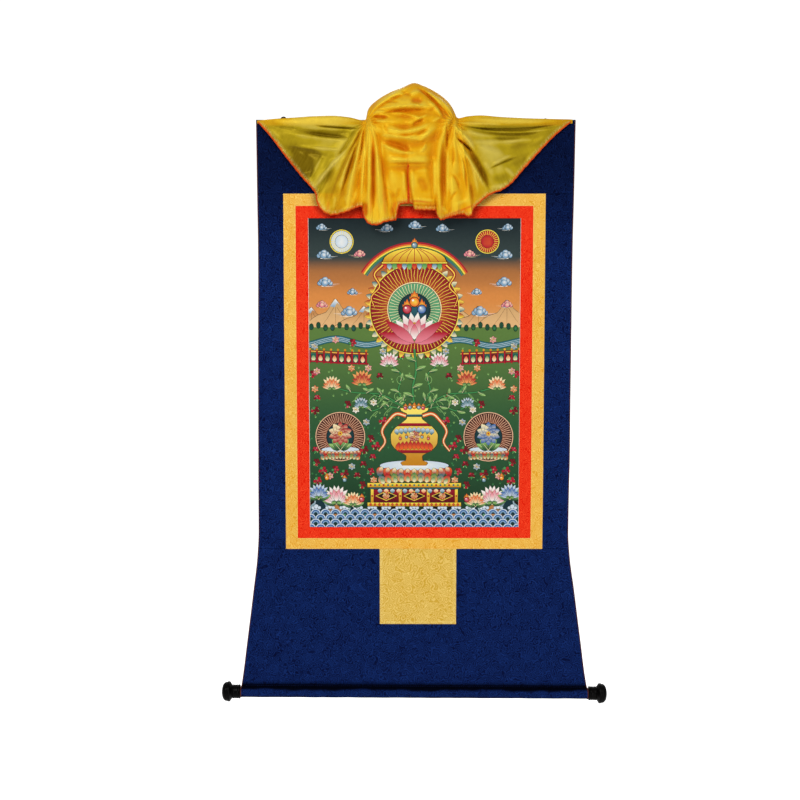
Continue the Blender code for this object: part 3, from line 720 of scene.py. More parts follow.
def twist(
    name: str,
    path: Array,
    across: Array,
    radius: float,
    plies: int = 2,
    pitch: float = 0.004,
    flat: float = 1.0,
    groove: float = 0.2,
    sides: int = 12,
) -> Piece:
    """Makes a twisted cord, or a wrapped thread edging, as a closed tube along a path.

    Args:
        name: the piece's name.
        path: points along it, about a sixth of the pitch apart.
        across: one direction, or one for each point, that the tube's first axis leans to.
        radius: of the cord along that axis.
        plies: how many plies the groove between them shows.
        pitch: the length of one full turn.
        flat: the other axis as a share of the first.
        groove: the depth between plies as a share of the radius.
        sides: points round the tube.

    Returns:
        The cord.
    """
    ahead = unit(np.gradient(path, axis=0))
    first = unit(across - (across * ahead).sum(-1, keepdims=True) * ahead)
    second = np.cross(ahead, first)
    length = along_path(path)
    angle = np.arange(sides) * tau / sides
    turned = plies / 2 * (angle[None, :] - tau * length[:, None] / pitch)
    swell = radius * (1 - groove + groove * np.abs(np.cos(turned)))
    ends = np.minimum(length, length[-1] - length)[:, None] / radius
    swell = swell * np.sqrt(np.clip(ends + 0.1, 0.1, 1.0))
    round_it = np.cos(angle)[:, None] * first[:, None] + flat * np.sin(angle)[:, None] * second[:, None]
    points = path[:, None] + swell[..., None] * round_it
    cloth = paired(length[:, None], angle * radius)
    faces = grid_faces(len(path), sides, closed=True).tolist()
    last = len(path) * sides - sides
    faces += [list(range(sides)), [last + n for n in reversed(range(sides))]]
    piece = new_piece(name, points, faces, cloth)
    edit(piece, bpy.ops.mesh.normals_make_consistent, inside=False)
    return piece


def read_along(path: Array, length: Array, at: Array) -> Array:
    """A path's rows at other lengths along it than its own."""
    return np.stack([np.interp(at, length, column) for column in path.T], 1)


def resample(path: Array, step: float) -> Array:
    """The same path with its points an even step apart."""
    length = along_path(path)
    return read_along(path, length, np.linspace(0.0, length[-1], max(int(length[-1] / step), 2) + 1))


def sewn_line(name: str, path: Array, out: Array, pitch: float = 0.0042) -> Piece:
    """Makes a row of stitches, one short raised thread copied along a path.

    Args:
        name: the piece's name.
        path: the line on the cloth's face.
        out: the direction away from the cloth, at each point of the path.
        pitch: from stitch to stitch.

    Returns:
        The stitches as one mesh.
    """
    length = along_path(path)
    starts = np.arange(pitch / 2, length[-1] - pitch, pitch)
    long, wide, high = 0.68 * pitch, 0.00042, 0.00042
    ring = np.array([(cos(a), sin(a)) for a in (radians(-10), radians(60), radians(120), radians(190))])
    swell = np.array([0.35, 0.9, 1.0, 0.9, 0.35])
    slide = np.linspace(0, 1, len(swell))
    points, faces, cloth = [], [], []
    for run in starts[:, None] + slide * long:
        at, up = read_along(path, length, run), unit(read_along(out, length, run))
        side = unit(np.cross(unit(np.gradient(at, axis=0)), up))
        body = at[:, None] + swell[:, None, None] * (
            wide * ring[None, :, :1] * side[:, None] + high * ring[None, :, 1:] * up[:, None]
        )
        base = len(points) * body.shape[0] * 4
        faces.append(base + grid_faces(body.shape[0], 4))
        points.append(body)
        cloth.append(paired(run[:, None], ring[None, :, 0] * wide))
    return new_piece(name, np.concatenate(points), np.concatenate(faces), np.concatenate(cloth))


# ---------------------------------------------------------------- how the scroll hangs


class Rect(NamedTuple):
    """The sides of a rectangle in the scroll's plane, in metres."""

    left: float
    right: float
    top: float
    bottom: float


@dataclass(frozen=True)
class Hanging:
    """The shape of the hung mounting: the surface that its cloth follows, and its outline."""

    gap: float = 0.3 * MM
    cloth: float = 1.5 * MM
    slat_depth: float = 8 * MM
    slat_height: float = 20 * MM
    slat_round: float = 1.2 * MM
    tail: float = 15 * MM
    dowel_radius: float = 9 * MM
    roller_z: float = -1103.4 * MM
    roller_behind: float = 2 * MM
    tilt: float = 0.0053
    stitch_above: float = 12 * MM
    pinch_depth: float = 3 * MM
    pinch_reach: float = 10 * MM
    piping: float = 1.2 * MM
    tucked: float = 1.7 * MM
    fine_step: float = 3 * MM
    edges: Table = Table(
        "depth left right",
        (
            (0, 298.2, 302.2), (150, 297.2, 300.4), (233, 296.5, 299.1), (430, 298.1, 298.3),
            (560, 299.3, 298), (640, 300, 298.2), (700, 300.5, 297.4), (785, 300.9, 297.1),
            (830, 303.4, 300.1), (900, 311.8, 310), (1000, 324.9, 323.7), (1085, 336.6, 336.2),
            (1100, 339.5, 340),
        ),
    )

    @property
    def offset(self) -> float:
        """From a batten's face to the middle of the cloth on it."""
        return self.gap + self.cloth / 2

    @property
    def mid_y(self) -> float:
        """Where the middle of the flat hung cloth lies."""
        return -(self.slat_depth / 2 + self.offset)

    @property
    def roller_y(self) -> float:
        """Where the dowel's centre lies."""
        return self.mid_y + self.roller_behind

    def bow(self, x: Array, z: Array) -> Array:
        """How far the cloth bows forward between the slat and the roller, with its soft waves.

        Args:
            x, z: places on the cloth.

        Returns:
            The distance at each place.
        """
        fall = np.clip((-z - 0.030) / 1.040, 0.0, 1.0)
        held = np.sin(pi * fall)
        curl = 3.5 * MM * held * (x / 0.3) ** 2
        ripple = 1.2 * MM * held * np.sin(3.3 * pi * fall + 7.0 * x)
        waves = 0.28 * np.sin(31 * x + 17 * z + 0.4) + 0.22 * np.sin(-23 * x + 29 * z + 2.0)
        waves = waves + 0.16 * np.sin(58 * x + 11 * z + 1.1)
        return curl + ripple + MM * waves * held

    def fall(self, x: Array, z: Array) -> Array:
        """How far a point is lowered, as the roller hangs a little lower at +X."""
        return self.tilt * x * smooth((-z - 0.820) / 0.270)

    def pinch(self, z: Array) -> Array:
        """How far the stitching above the roller draws the cloth back."""
        into = (self.roller_z + self.stitch_above + self.pinch_reach - z) / self.pinch_reach
        return self.pinch_depth * np.clip(into, 0.0, 1.0) ** 2

    def surface(self, x: Array, z: Array, out: Array | float = 0.0) -> Array:
        """Points on the mounting.

        Args:
            x: across.
            z: height.
            out: how far in front of the cloth's middle.

        Returns:
            One point for each place.
        """
        x, z, out = np.broadcast_arrays(np.asarray(x, float), z, out)
        y = self.mid_y - self.bow(x, z) + self.pinch(z) - out
        return np.stack([x, y, z - self.fall(x, z)], -1)

    def shade(self, z: Array) -> Array:
        """The painted shade on the navy cloth: darker near the top, and in the trough over the roller."""
        trough = (z - self.roller_z - self.stitch_above - 0.8 * MM) / (6.2 * MM)
        return np.maximum(0.6 * (1 - smooth((-z - 0.06) / 0.27)), 0.97 * np.exp(-(trough**2)))

    def outline(self, z: Array, side: int) -> Array:
        """The half width of the scroll with its piping, on one side, -1 left or +1 right."""
        return MM * self.edges.read("left" if side < 0 else "right", -np.asarray(z, float) / MM)

    def cut_edge(self, z: Array, side: int) -> Array:
        """The x of the brocade's edge, tucked into the piping."""
        return side * (self.outline(z, side) - self.tucked)

    def over_slat(self) -> Array:
        """The section (y, z) of the sleeve, up from the slat's front foot, over and down."""
        foot = -(self.cloth + self.gap) - self.slat_height
        corner = self.slat_round + self.offset
        half, top = self.slat_depth / 2 + self.offset, -self.cloth / 2
        tail_y = self.mid_y + self.cloth + self.gap
        section = [(-half, z) for z in spread(foot, top - corner, self.fine_step)]
        for centre, start in ((-half + corner, pi), (half - corner, pi / 2)):
            for angle in np.linspace(start, start - pi / 2, 8)[1:]:
                section.append((centre + corner * cos(angle), top - corner + corner * sin(angle)))
        section += [(half, z) for z in spread(top - corner, foot, self.fine_step)[1:]]
        below = foot - (half - tail_y)
        section += [((half + tail_y) / 2, (foot + below) / 2)]
        section += [(tail_y, z) for z in spread(below, below - self.tail, self.fine_step)]
        return np.array(section)

    def round_dowel(self, radius: float) -> Array:
        """The section (y, z) round the roller at a radius, from stitching to stitching.

        Args:
            radius: from the dowel's centre.

        Returns:
            Points from front to back.
        """
        stitch_y = self.mid_y + self.pinch_depth
        ends = []
        for y, turn in ((stitch_y, 1), (stitch_y + self.cloth + self.gap, -1)):
            reach = sqrt((y - self.roller_y) ** 2 + self.stitch_above**2)
            ends.append(atan2(self.stitch_above, y - self.roller_y) + turn * acos(min(radius / reach, 1)))
        angle = np.linspace(ends[0], ends[1] + tau, 45)
        return np.stack([self.roller_y + radius * np.cos(angle), self.roller_z + radius * np.sin(angle)], 1)

    def turned_with_roller(self, points: Array) -> Array:
        """Points lowered with the roller's tilt."""
        return points - points[..., :1] * np.array([0.0, 0.0, self.tilt])


HUNG = Hanging()
GOLD_OUTER = Rect(-0.248, 0.247, -0.1376, -0.8177)
RED_OUTER = Rect(-0.225, 0.224, -0.1606, -0.7966)
PICTURE = Rect(-0.202, 0.2013, -0.1831, -0.7755)
DOOR = Rect(-0.067, 0.081, -0.8177, -0.9663)
SEAM = 0.06 * MM


def pucker(x: Array, z: Array, near: Rect) -> Array:
    """Small puckers beside a seam round a rectangle, gone 16 mm away from it.

    Args:
        x, z: places on the cloth.
        near: the rectangle.

    Returns:
        How far the cloth stands out at each place.
    """
    away_x = np.maximum(near.left - x, x - near.right)
    away_z = np.maximum(z - near.top, near.bottom - z)
    away = np.maximum(away_x, away_z)
    along = np.where(away_x > away_z, z, x)
    waves = np.sin(along * 370 + 2 * np.sin(along * 61)) + 0.6 * np.sin(along * 210 + 1.0)
    return 0.13 * MM * waves * smooth(away / 0.0025) * smooth(1 - away / 0.016)


def under_veil(points: Array, reach: float) -> Array:
    """The veil's painted shadow on the cloth just outside its hem, 1 at the hem to 0 at the reach.

    Args:
        points: on the cloth.
        reach: how far the painted shadow goes.

    Returns:
        One value for each point.
    """
    veil = Veil()
    line = np.linspace(0, veil.last, 240)
    x, z = (veil.hem.read(key, line) * MM for key in ("x", "z"))
    gap = np.hypot(points[..., :1] - x, points[..., 2:] - z).min(-1)
    return smooth(1 - gap / reach)


# ---------------------------------------------------------------- mounting


@dataclass
class NavyPanels:
    """The navy brocade round the borders: over the slat, down both sides, round the roller."""

    step: float = 4 * MM
    top_columns: int = 123
    side_columns: int = 15
    columns_beside_door: int = 52
    door_columns: int = 28
    stitch_dip: float = 0.35 * MM
    stitch_wide: float = 1.6 * MM
    tail_shade: float = 0.3

    def make_top(self) -> Piece:
        """The panel over the picture, folded over the slat and sewn down behind."""
        section = HUNG.over_slat()
        front = spread(GOLD_OUTER.top + SEAM, section[0, 1], self.step)[:-1]
        heights = np.concatenate([front, section[:, 1]])
        share = np.linspace(0, 1, self.top_columns)
        left, right = (HUNG.cut_edge(heights, side)[:, None] for side in (-1, 1))
        x = left + (right - left) * share
        points = HUNG.surface(x, heights[:, None], pucker(x, heights[:, None], GOLD_OUTER))
        dip = np.exp(-(((heights - section[0, 1]) / self.stitch_wide) ** 2))
        points[..., 1] += self.stitch_dip * dip[:, None]
        points[len(front) :, :, 1:] = section[:, None]
        cloth = paired(x, np.concatenate([front, section[0, 1] + along_path(section)])[:, None])
        # Painted shade towards the top, and the veil's painted shadow beside its hem.
        shade = np.maximum(HUNG.shade(points[::-1, :, 2]), 0.9 * under_veil(points[::-1], 10 * MM))
        piece = laid_cloth("navy_top_panel", points[::-1], cloth[::-1], NAVY, shade=shade)
        settle(piece, "navy_brocade", "top_panel")
        ends = HUNG.cut_edge(section[-4, 1], -1) + 4 * MM, HUNG.cut_edge(section[-4, 1], 1) - 4 * MM
        line = np.array([(at, section[-1, 0] + HUNG.cloth / 2, section[-1, 1] + 3 * MM) for at in ends])
        self.stitch("sleeve_stitching", line, 1)
        return piece

    def make_side(self, name: str, node: str, side: int) -> Piece:
        """The strip beside the gold border on one side.

        Args:
            name: the piece's name.
            node: the CAD node it stands for.
            side: -1 left or +1 right.

        Returns:
            The strip.
        """
        near = np.array([-1.8, -0.2, 0.6, 1.6]) * MM
        top, foot = GOLD_OUTER.top, GOLD_OUTER.bottom
        middle = spread(top - 4 * MM, foot + 4 * MM, self.step)
        z = np.concatenate([top - near, middle, foot + near[::-1]])
        sunk = HUNG.cloth * 1.12 * (1 - smooth((np.minimum(top - z, z - foot) + 0.2 * MM) / (1.8 * MM)))
        inner = GOLD_OUTER.left - SEAM if side < 0 else GOLD_OUTER.right + SEAM
        outer = HUNG.cut_edge(z, side)[:, None]
        left, right = (outer, inner) if side < 0 else (inner, outer)
        x = left + (right - left) * np.linspace(0, 1, self.side_columns)
        points = HUNG.surface(x, z[:, None], pucker(x, z[:, None], GOLD_OUTER) - sunk[:, None])
        piece = laid_cloth(name, points, paired(x, z[:, None]), NAVY, shade=HUNG.shade(points[..., 2]))
        settle(piece, "navy_brocade", node)
        return piece

    def roll_shade(self, x: Array, sleeve: Array) -> Array:
        """The painted shade on the roll: behind, and unevenly on top, where the cloth turns in.

        Args:
            x: across, for each point.
            sleeve: the section (y, z) round the roller.

        Returns:
            One value for each point.
        """
        turned = 1 + (sleeve[:, :1] - HUNG.roller_y) / (HUNG.dowel_radius + HUNG.offset)
        high = (sleeve[:, 1:] - HUNG.roller_z) / HUNG.dowel_radius
        uneven = 0.1 * np.sin(x * 29 + 1) + 0.08 * np.sin(x * 71) + 0.06 * np.sin(x * 163 + 2)
        behind, above = smooth((turned - 0.12) / 0.4), smooth((high + uneven - 0.42) / 0.45)
        return np.maximum(0.92 * behind, 0.95 * above)

    def make_bottom(self) -> Piece:
        """The flared panel below the picture, notched for the door and rolled on the dowel."""
        stitch = HUNG.roller_z + HUNG.stitch_above
        beside = spread(GOLD_OUTER.bottom - SEAM, DOOR.bottom - SEAM, self.step)
        below = spread(beside[-1], stitch + HUNG.pinch_reach, self.step)[1:]
        pinched = spread(below[-1], stitch, 1.2 * MM)[1:]
        heights = np.concatenate([beside, below, pinched])
        sleeve = HUNG.round_dowel(HUNG.dowel_radius + HUNG.offset)
        tail_z = spread(stitch, stitch + HUNG.tail, HUNG.fine_step)
        tail_y = HUNG.mid_y + HUNG.pinch(tail_z) + HUNG.cloth + HUNG.gap
        section = np.concatenate([sleeve, np.stack([tail_y, tail_z], 1)])
        edge_z = np.concatenate([heights, np.full(len(sleeve), HUNG.roller_z), tail_z])
        left, right = (HUNG.cut_edge(edge_z, side)[:, None] for side in (-1, 1))
        door = DOOR.left - SEAM, DOOR.right + SEAM
        half = np.linspace(0, 1, self.columns_beside_door)
        between = door[0] + (door[1] - door[0]) * np.linspace(0, 1, self.door_columns)[1:-1]
        between = np.tile(between, (len(edge_z), 1))
        x = np.concatenate([left + (door[0] - left) * half, between, door[1] + (right - door[1]) * half], 1)
        flat = len(heights)
        points = np.empty((*x.shape, 3))
        puckers = sum(pucker(x[:flat], heights[:, None], near) for near in (DOOR, GOLD_OUTER))
        points[:flat] = HUNG.surface(x[:flat], heights[:, None], puckers)
        rolled = np.empty((len(section), x.shape[1], 3))
        rolled[..., 0], rolled[..., 1:] = x[flat:], section[:, None]
        around, over = rolled[: len(sleeve)], x[flat : flat + len(sleeve)]
        ruck = 0.22 * MM * np.sin(over * 95 + 1.3) * np.sin(over * 37)
        around[..., 2] += ruck * np.sin(np.linspace(0, pi, len(sleeve)))[:, None]
        points[flat:] = HUNG.turned_with_roller(rolled)
        down = (heights[0] - along_path(points[:, x.shape[1] // 2]))[:, None]
        faces = grid_faces(*x.shape)
        row, column = np.divmod(np.arange(len(faces)), x.shape[1] - 1)
        notch = (row < len(beside) - 1) & (column >= len(half) - 1) & (column < x.shape[1] - len(half))
        shade = np.full(x.shape, self.tail_shade)
        shade[:flat] = HUNG.shade(heights)[:, None]
        shade[flat : flat + len(sleeve)] = self.roll_shade(over, sleeve)
        piece = new_piece("navy_bottom_panel", points, faces[~notch], paired(x, down), shade=shade)
        edit(piece, bpy.ops.mesh.delete_loose)
        thicken(piece, HUNG.cloth, NAVY.material(), NAVY.material(Side.REVERSE))
        settle(piece, "navy_brocade", "bottom_panel")
        inset = 5 * MM
        for name, row, out in (("roller_stitching", flat - 1, -1), ("roller_tail_stitching", -2, 1)):
            proud = out * HUNG.cloth / 2
            self.stitch(name, points[row, [0, -1]] + np.array([(inset, proud, 0), (-inset, proud, 0)]), out)
        return piece

    def stitch(self, name: str, ends: Array, out: float) -> None:
        """Sews a line of navy stitches on the cloth.

        Args:
            name: the stitches' name.
            ends: the line's two ends.
            out: -1 on the front or +1 behind.
        """
        line = resample(ends, 8 * MM)
        stitches = sewn_line(name, line, np.broadcast_to(np.array([0.0, out, 0.0]), line.shape))
        stitches.data.materials.append(NAVY_THREAD.material())
        settle(stitches, "navy_brocade")

    def make(self) -> list[Piece]:
        """Makes the four panels."""
        return [
            self.make_top(),
            self.make_side("navy_side_left", "side_panel_left", -1),
            self.make_side("navy_side_right", "side_panel_right", 1),
            self.make_bottom(),
        ]


@dataclass
class Border:
    """Four mitred strips of brocade, their long edges folded under and lying proud."""

    prefix: str
    outer: Rect
    inner: Rect
    finish: Brocade
    slot: str
    proud: float = 0.4 * MM
    tuck: float = 0.7 * MM
    step: float = 5 * MM

    def section(self, width: float) -> tuple[Array, Array]:
        """How a strip lies across its width.

        Args:
            width: of the strip.

        Returns:
            The places across, and how far each lies in front of the mounting's middle.
        """
        near = np.array([0.0, 0.12, 0.4, 0.9, 1.8]) * MM
        rise = np.array([-self.tuck, -0.1 * MM, 0.6 * self.proud, 0.92 * self.proud, self.proud])
        inside = np.linspace(2.6 * MM, width - 2.6 * MM, 7)
        places = np.concatenate([near, inside, width - near[::-1]])
        out = np.concatenate([rise, np.full(7, 0.9 * self.proud), rise[::-1]])
        return places, out

    def make_strip(self, side: str) -> Piece:
        """Makes the strip on one side, named as in Rect.

        Args:
            side: top, bottom, left or right.

        Returns:
            The strip.
        """
        flat = side in ("top", "bottom")
        width = abs(getattr(self.outer, side) - getattr(self.inner, side)) - 2 * SEAM
        across, out = self.section(width)
        share = (across + SEAM) / (width + 2 * SEAM)

        def at(corner: str) -> Array:
            """Where the strip's rows lie between the outer and the inner edge on one side."""
            return getattr(self.outer, corner) * (1 - share) + getattr(self.inner, corner) * share

        fixed = at(side)[:, None]
        start, end = (at("left"), at("right")) if flat else (at("top"), at("bottom"))
        sign = 1 if flat else -1
        start, end = start + sign * SEAM, end - sign * SEAM
        length = abs(end[0] - start[0])
        ends = np.array([0, 0.5, 1.2, 2.5]) * MM / length
        inside = spread(ends[-1], 1 - ends[-1], self.step / length)[1:-1]
        steps = np.concatenate([ends, inside, 1 - ends[::-1]])
        along = start[:, None] + (end - start)[:, None] * steps
        sunk = 0.35 * self.proud * np.exp(-((np.minimum(steps, 1 - steps) * length / (0.9 * MM)) ** 2))
        height = out[:, None] - sunk
        lines = np.sin(along * 240 + 3 * np.sin(along * 43)) * 0.1 * MM
        height = height + lines * smooth((width / 2 - np.abs(across - width / 2)) / (width / 3))[:, None]
        # The edge mark: a painted highlight along the strip's folded long edges.
        rim = np.exp(-((np.minimum(across, width - across) / (1.5 * MM)) ** 2))[:, None]
        x, z = (along, fixed) if flat else (fixed, along)
        x, z, height, rim = np.broadcast_arrays(x, z, height, rim)
        if side in ("bottom", "right"):
            x, z, height, rim = (np.flip(part, 0) for part in (x, z, height, rim))
        if not flat:
            x, z, height, rim = (part.T for part in (x, z, height, rim))
        points = HUNG.surface(x, z, height)
        # shade: the veil's painted shadow beside its hem.
        marks = {"edge": rim, "shade": 0.5 * under_veil(points, 15 * MM)}
        piece = laid_cloth(f"{self.prefix}_border_{side}", points, paired(x, z), self.finish, **marks)
        settle(piece, self.slot, f"{self.prefix}_strip_{side}")
        return piece

    def make(self) -> list[Piece]:
        """Makes the four strips."""
        return [self.make_strip(side) for side in ("top", "bottom", "left", "right")]


@dataclass
class DoorPatch:
    """The square of gold damask let into the navy below the picture."""

    place: Rect = DOOR
    fold: float = 6 * MM
    proud: float = 0.45 * MM

    def make(self) -> Piece:
        """The patch, with its sides and foot folded under and its fold lines pressed in."""
        place = self.place
        near = np.array([0, 0.12, 0.4, 0.9, 1.8, 3, 4.6, 5.4, 6, 6.6, 7.4]) * MM
        wide, long = place.right - place.left - 2 * SEAM, place.top - place.bottom - 2 * SEAM
        across = np.concatenate([near, spread(near[-1], wide - near[-1], 4 * MM)[1:-1], wide - near[::-1]])
        down = np.concatenate([spread(0, long - near[-1], 4 * MM)[:-1], long - near[::-1]])
        x, z = np.meshgrid(place.left + SEAM + across, place.top - SEAM - down)
        sides = np.minimum(x - place.left, place.right - x)
        away = np.minimum(sides, z - place.bottom)
        out = self.proud * smooth(away / (1.2 * MM)) - 0.7 * MM * smooth(1 - away / (0.4 * MM))
        out = out - 0.3 * self.proud * smooth((away - self.fold + 0.6 * MM) / (1.2 * MM))
        out = out + 0.35 * MM * np.sin(x * 52 + 0.5) * np.sin(z * 47) * smooth(away / 0.03)
        # The edge mark: a painted highlight on the band folded under at the sides and foot.
        rim = smooth(1 - (away - self.fold + 1.0 * MM) / (1.6 * MM))
        points = HUNG.surface(x, z, out)
        piece = laid_cloth("gold_door_patch", points, paired(x, z), DOOR_GOLD, edge=rim)
        settle(piece, "gold_brocade", "door_patch")
        return piece


@dataclass
class EdgePiping:
    """The red-brown cord that binds each side, over the slat's end and round the roller."""

    radius: float = 1.2 * MM
    pitch: float = 4.4 * MM

    def path(self, side: int) -> Array:
        """The cord's route down one side, -1 left or +1 right.

        Args:
            side: -1 or +1.

        Returns:
            Points from the slat to behind the roller.
        """
        over = HUNG.over_slat()[1:-8][::-1]
        stitch = HUNG.roller_z + HUNG.stitch_above
        z = np.concatenate([over[:, 1], spread(over[-1, 1], stitch, 4 * MM)[1:]])
        x = side * (HUNG.outline(z, side) - self.radius)
        points = HUNG.surface(x, z)
        points[: len(over), 1] = over[:, 0]
        x_end = side * (HUNG.outline(HUNG.roller_z, side) - self.radius)
        ring = HUNG.round_dowel(HUNG.dowel_radius + HUNG.gap + self.radius)[2:-4]
        wrapped = np.concatenate([np.full((len(ring), 1), x_end), ring], 1)
        return np.concatenate([points, HUNG.turned_with_roller(wrapped)])

    def make(self) -> list[Piece]:
        """Makes both cords."""
        cords = []
        for side, word in ((-1, "left"), (1, "right")):
            path = resample(self.path(side), self.pitch / 6)
            away = np.array([1.0, 0, 0])
            cord = twist(f"piping_{word}", path, away, self.radius, plies=2, pitch=self.pitch, sides=10)
            cord.data.materials.append(BOUND_EDGE.material())
            cords.append(settle(cord, "piping", f"edge_piping_{word}"))
        return cords


@dataclass
class HangingLoops:
    """The two cord loops sewn behind the slat; their tops stand over the top edge."""

    radius: float = 1.6 * MM
    foot_z: float = -15 * MM
    bend_z: float = -6 * MM
    rows: tuple[tuple, ...] = (
        ("hanging_loop_left", -247.4, 6.5, 7.2), ("hanging_loop_right", 246.2, 5.5, 3.8),
    )

    def make(self) -> list[Piece]:
        """Makes both loops."""
        y = HUNG.slat_depth / 2 + HUNG.offset + HUNG.cloth / 2 + HUNG.gap + self.radius
        loops = []
        for name, x, half, above in self.rows:
            height = above * MM - self.radius - self.bend_z
            angle = np.linspace(pi, 0, 30)
            bend = paired(x * MM + half * MM * np.cos(angle), self.bend_z + height * np.sin(angle) ** 0.8)
            ends = ((x - half) * MM, self.foot_z), ((x + half) * MM, self.foot_z)
            flat = np.concatenate([ends[:1], bend, ends[1:]])
            path = np.insert(resample(flat, 0.6 * MM), 1, y, axis=1)
            away = np.array([0, 1.0, 0])
            cord = twist(f"{name}_cord", path, away, self.radius, plies=3, pitch=7 * MM, groove=0.28)
            cord.data.materials.append(DARK_CORD.material())
            loops.append(settle(cord, "dark_cord", name))
        return loops


@dataclass
class Knob:
    """A turned knob on one end of the roller, in black lacquer."""

    side: int
    sides: int = 64
    seat: float = 0.4 * MM
    along_step: float = 0.45
    groove_deep: float = 0.28
    groove_wide: float = 0.35
    turning: tuple[tuple[float, float], ...] = (
        (0, 12.6), (0.8, 13.7), (2.8, 13.7), (3.7, 12.7), (5.2, 13.4), (9.5, 13), (14, 13.5),
        (15, 12.6), (16.2, 13.6), (18.2, 16.2), (20, 19), (21.4, 19.6), (24.4, 19.3), (25.8, 18.2),
        (27, 18.5), (30, 17.2), (32.6, 14.6), (34.4, 11.2), (35.4, 6.8),
    )
    grooves: tuple[float, ...] = (7.4, 11.6, 22.9)

    def profile(self) -> list[tuple[float, float]]:
        """The turned outline (along, radius), its corners eased and its fine grooves cut in."""
        keys = [row[0] for row in self.turning]
        at = np.unique(np.concatenate([np.arange(0, keys[-1], self.along_step), keys]))
        radius = np.array(read_between(keys, [row[1] for row in self.turning], at))
        for groove in self.grooves:
            radius -= self.groove_deep * np.exp(-(((at - groove) / self.groove_wide) ** 2))
        rows = list(zip(at * MM, radius * MM))
        return rows + [((keys[-1] + 0.5) * MM, 3.2 * MM), ((keys[-1] + 0.55) * MM, 0.4 * MM)]

    def make(self) -> Piece:
        """Turns the knob: a disc drawn out and scaled row by row along the roller's axis."""
        word = "left" if self.side < 0 else "right"
        rows = self.profile()
        start = self.side * (HUNG.outline(HUNG.roller_z, self.side) + self.seat)
        bpy.ops.object.select_all(action="DESELECT")
        place = {"location": (start, 0, 0), "rotation": (0, pi / 2, 0)}
        bpy.ops.mesh.primitive_circle_add(vertices=self.sides, radius=rows[0][1], fill_type="NGON", **place)
        knob = bpy.context.object
        knob.name = knob.data.name = f"lacquer_knob_{word}"
        bpy.ops.object.transform_apply(location=True, rotation=True, scale=True)
        bpy.ops.object.mode_set(mode="EDIT")
        bpy.ops.mesh.select_all(action="SELECT")
        for (was, before), (along, radius) in zip(rows, rows[1:]):
            move = {"value": (self.side * (along - was), 0, 0)}
            bpy.ops.mesh.extrude_region_move(TRANSFORM_OT_translate=move)
            shrink = radius / before
            bpy.ops.transform.resize(value=(1, shrink, shrink), center_override=(start, 0, 0))
        bpy.ops.mesh.select_all(action="SELECT")
        bpy.ops.mesh.remove_doubles(threshold=1e-6)
        bpy.ops.mesh.normals_make_consistent(inside=False)
        bpy.ops.object.mode_set(mode="OBJECT")
        tilt = Matrix.Rotation(HUNG.tilt, 4, "Y")
        knob.data.transform(Matrix.Translation((0, HUNG.roller_y, HUNG.roller_z)) @ tilt)
        bpy.ops.object.shade_smooth_by_angle(angle=radians(32))
        knob.data.materials.append(Lacquer().material())
        return settle(knob, "black_lacquer", f"knob_{word}")


# ---------------------------------------------------------------- veil


class Crease(NamedTuple):
    """A fold's soft ridge or trough as seen from the front, mm; sag and height may be negative."""

    x0: float
    z0: float
    x1: float
    z1: float
    sag: float
    width: float
    height: float

    def lift(self, x: Array, z: Array) -> Array:
        """How far the crease lifts the cloth at places given in mm.

        Args:
            x, z: the places.

        Returns:
            The lift at each, in mm.
        """
        ahead = np.array([self.x1 - self.x0, self.z1 - self.z0])
        length = np.hypot(*ahead)
        ahead = ahead / length
        share = ((x - self.x0) * ahead[0] + (z - self.z0) * ahead[1]) / length
        beside = (x - self.x0) * ahead[1] - (z - self.z0) * ahead[0]
        beside = beside - self.sag * 4 * share * (1 - share)
        fade = smooth(share / 0.36) * smooth((1 - share) / 0.36)
        return self.height * fade * np.exp(-1.6 * (beside / (self.width * (0.45 + 0.55 * fade))) ** 2)


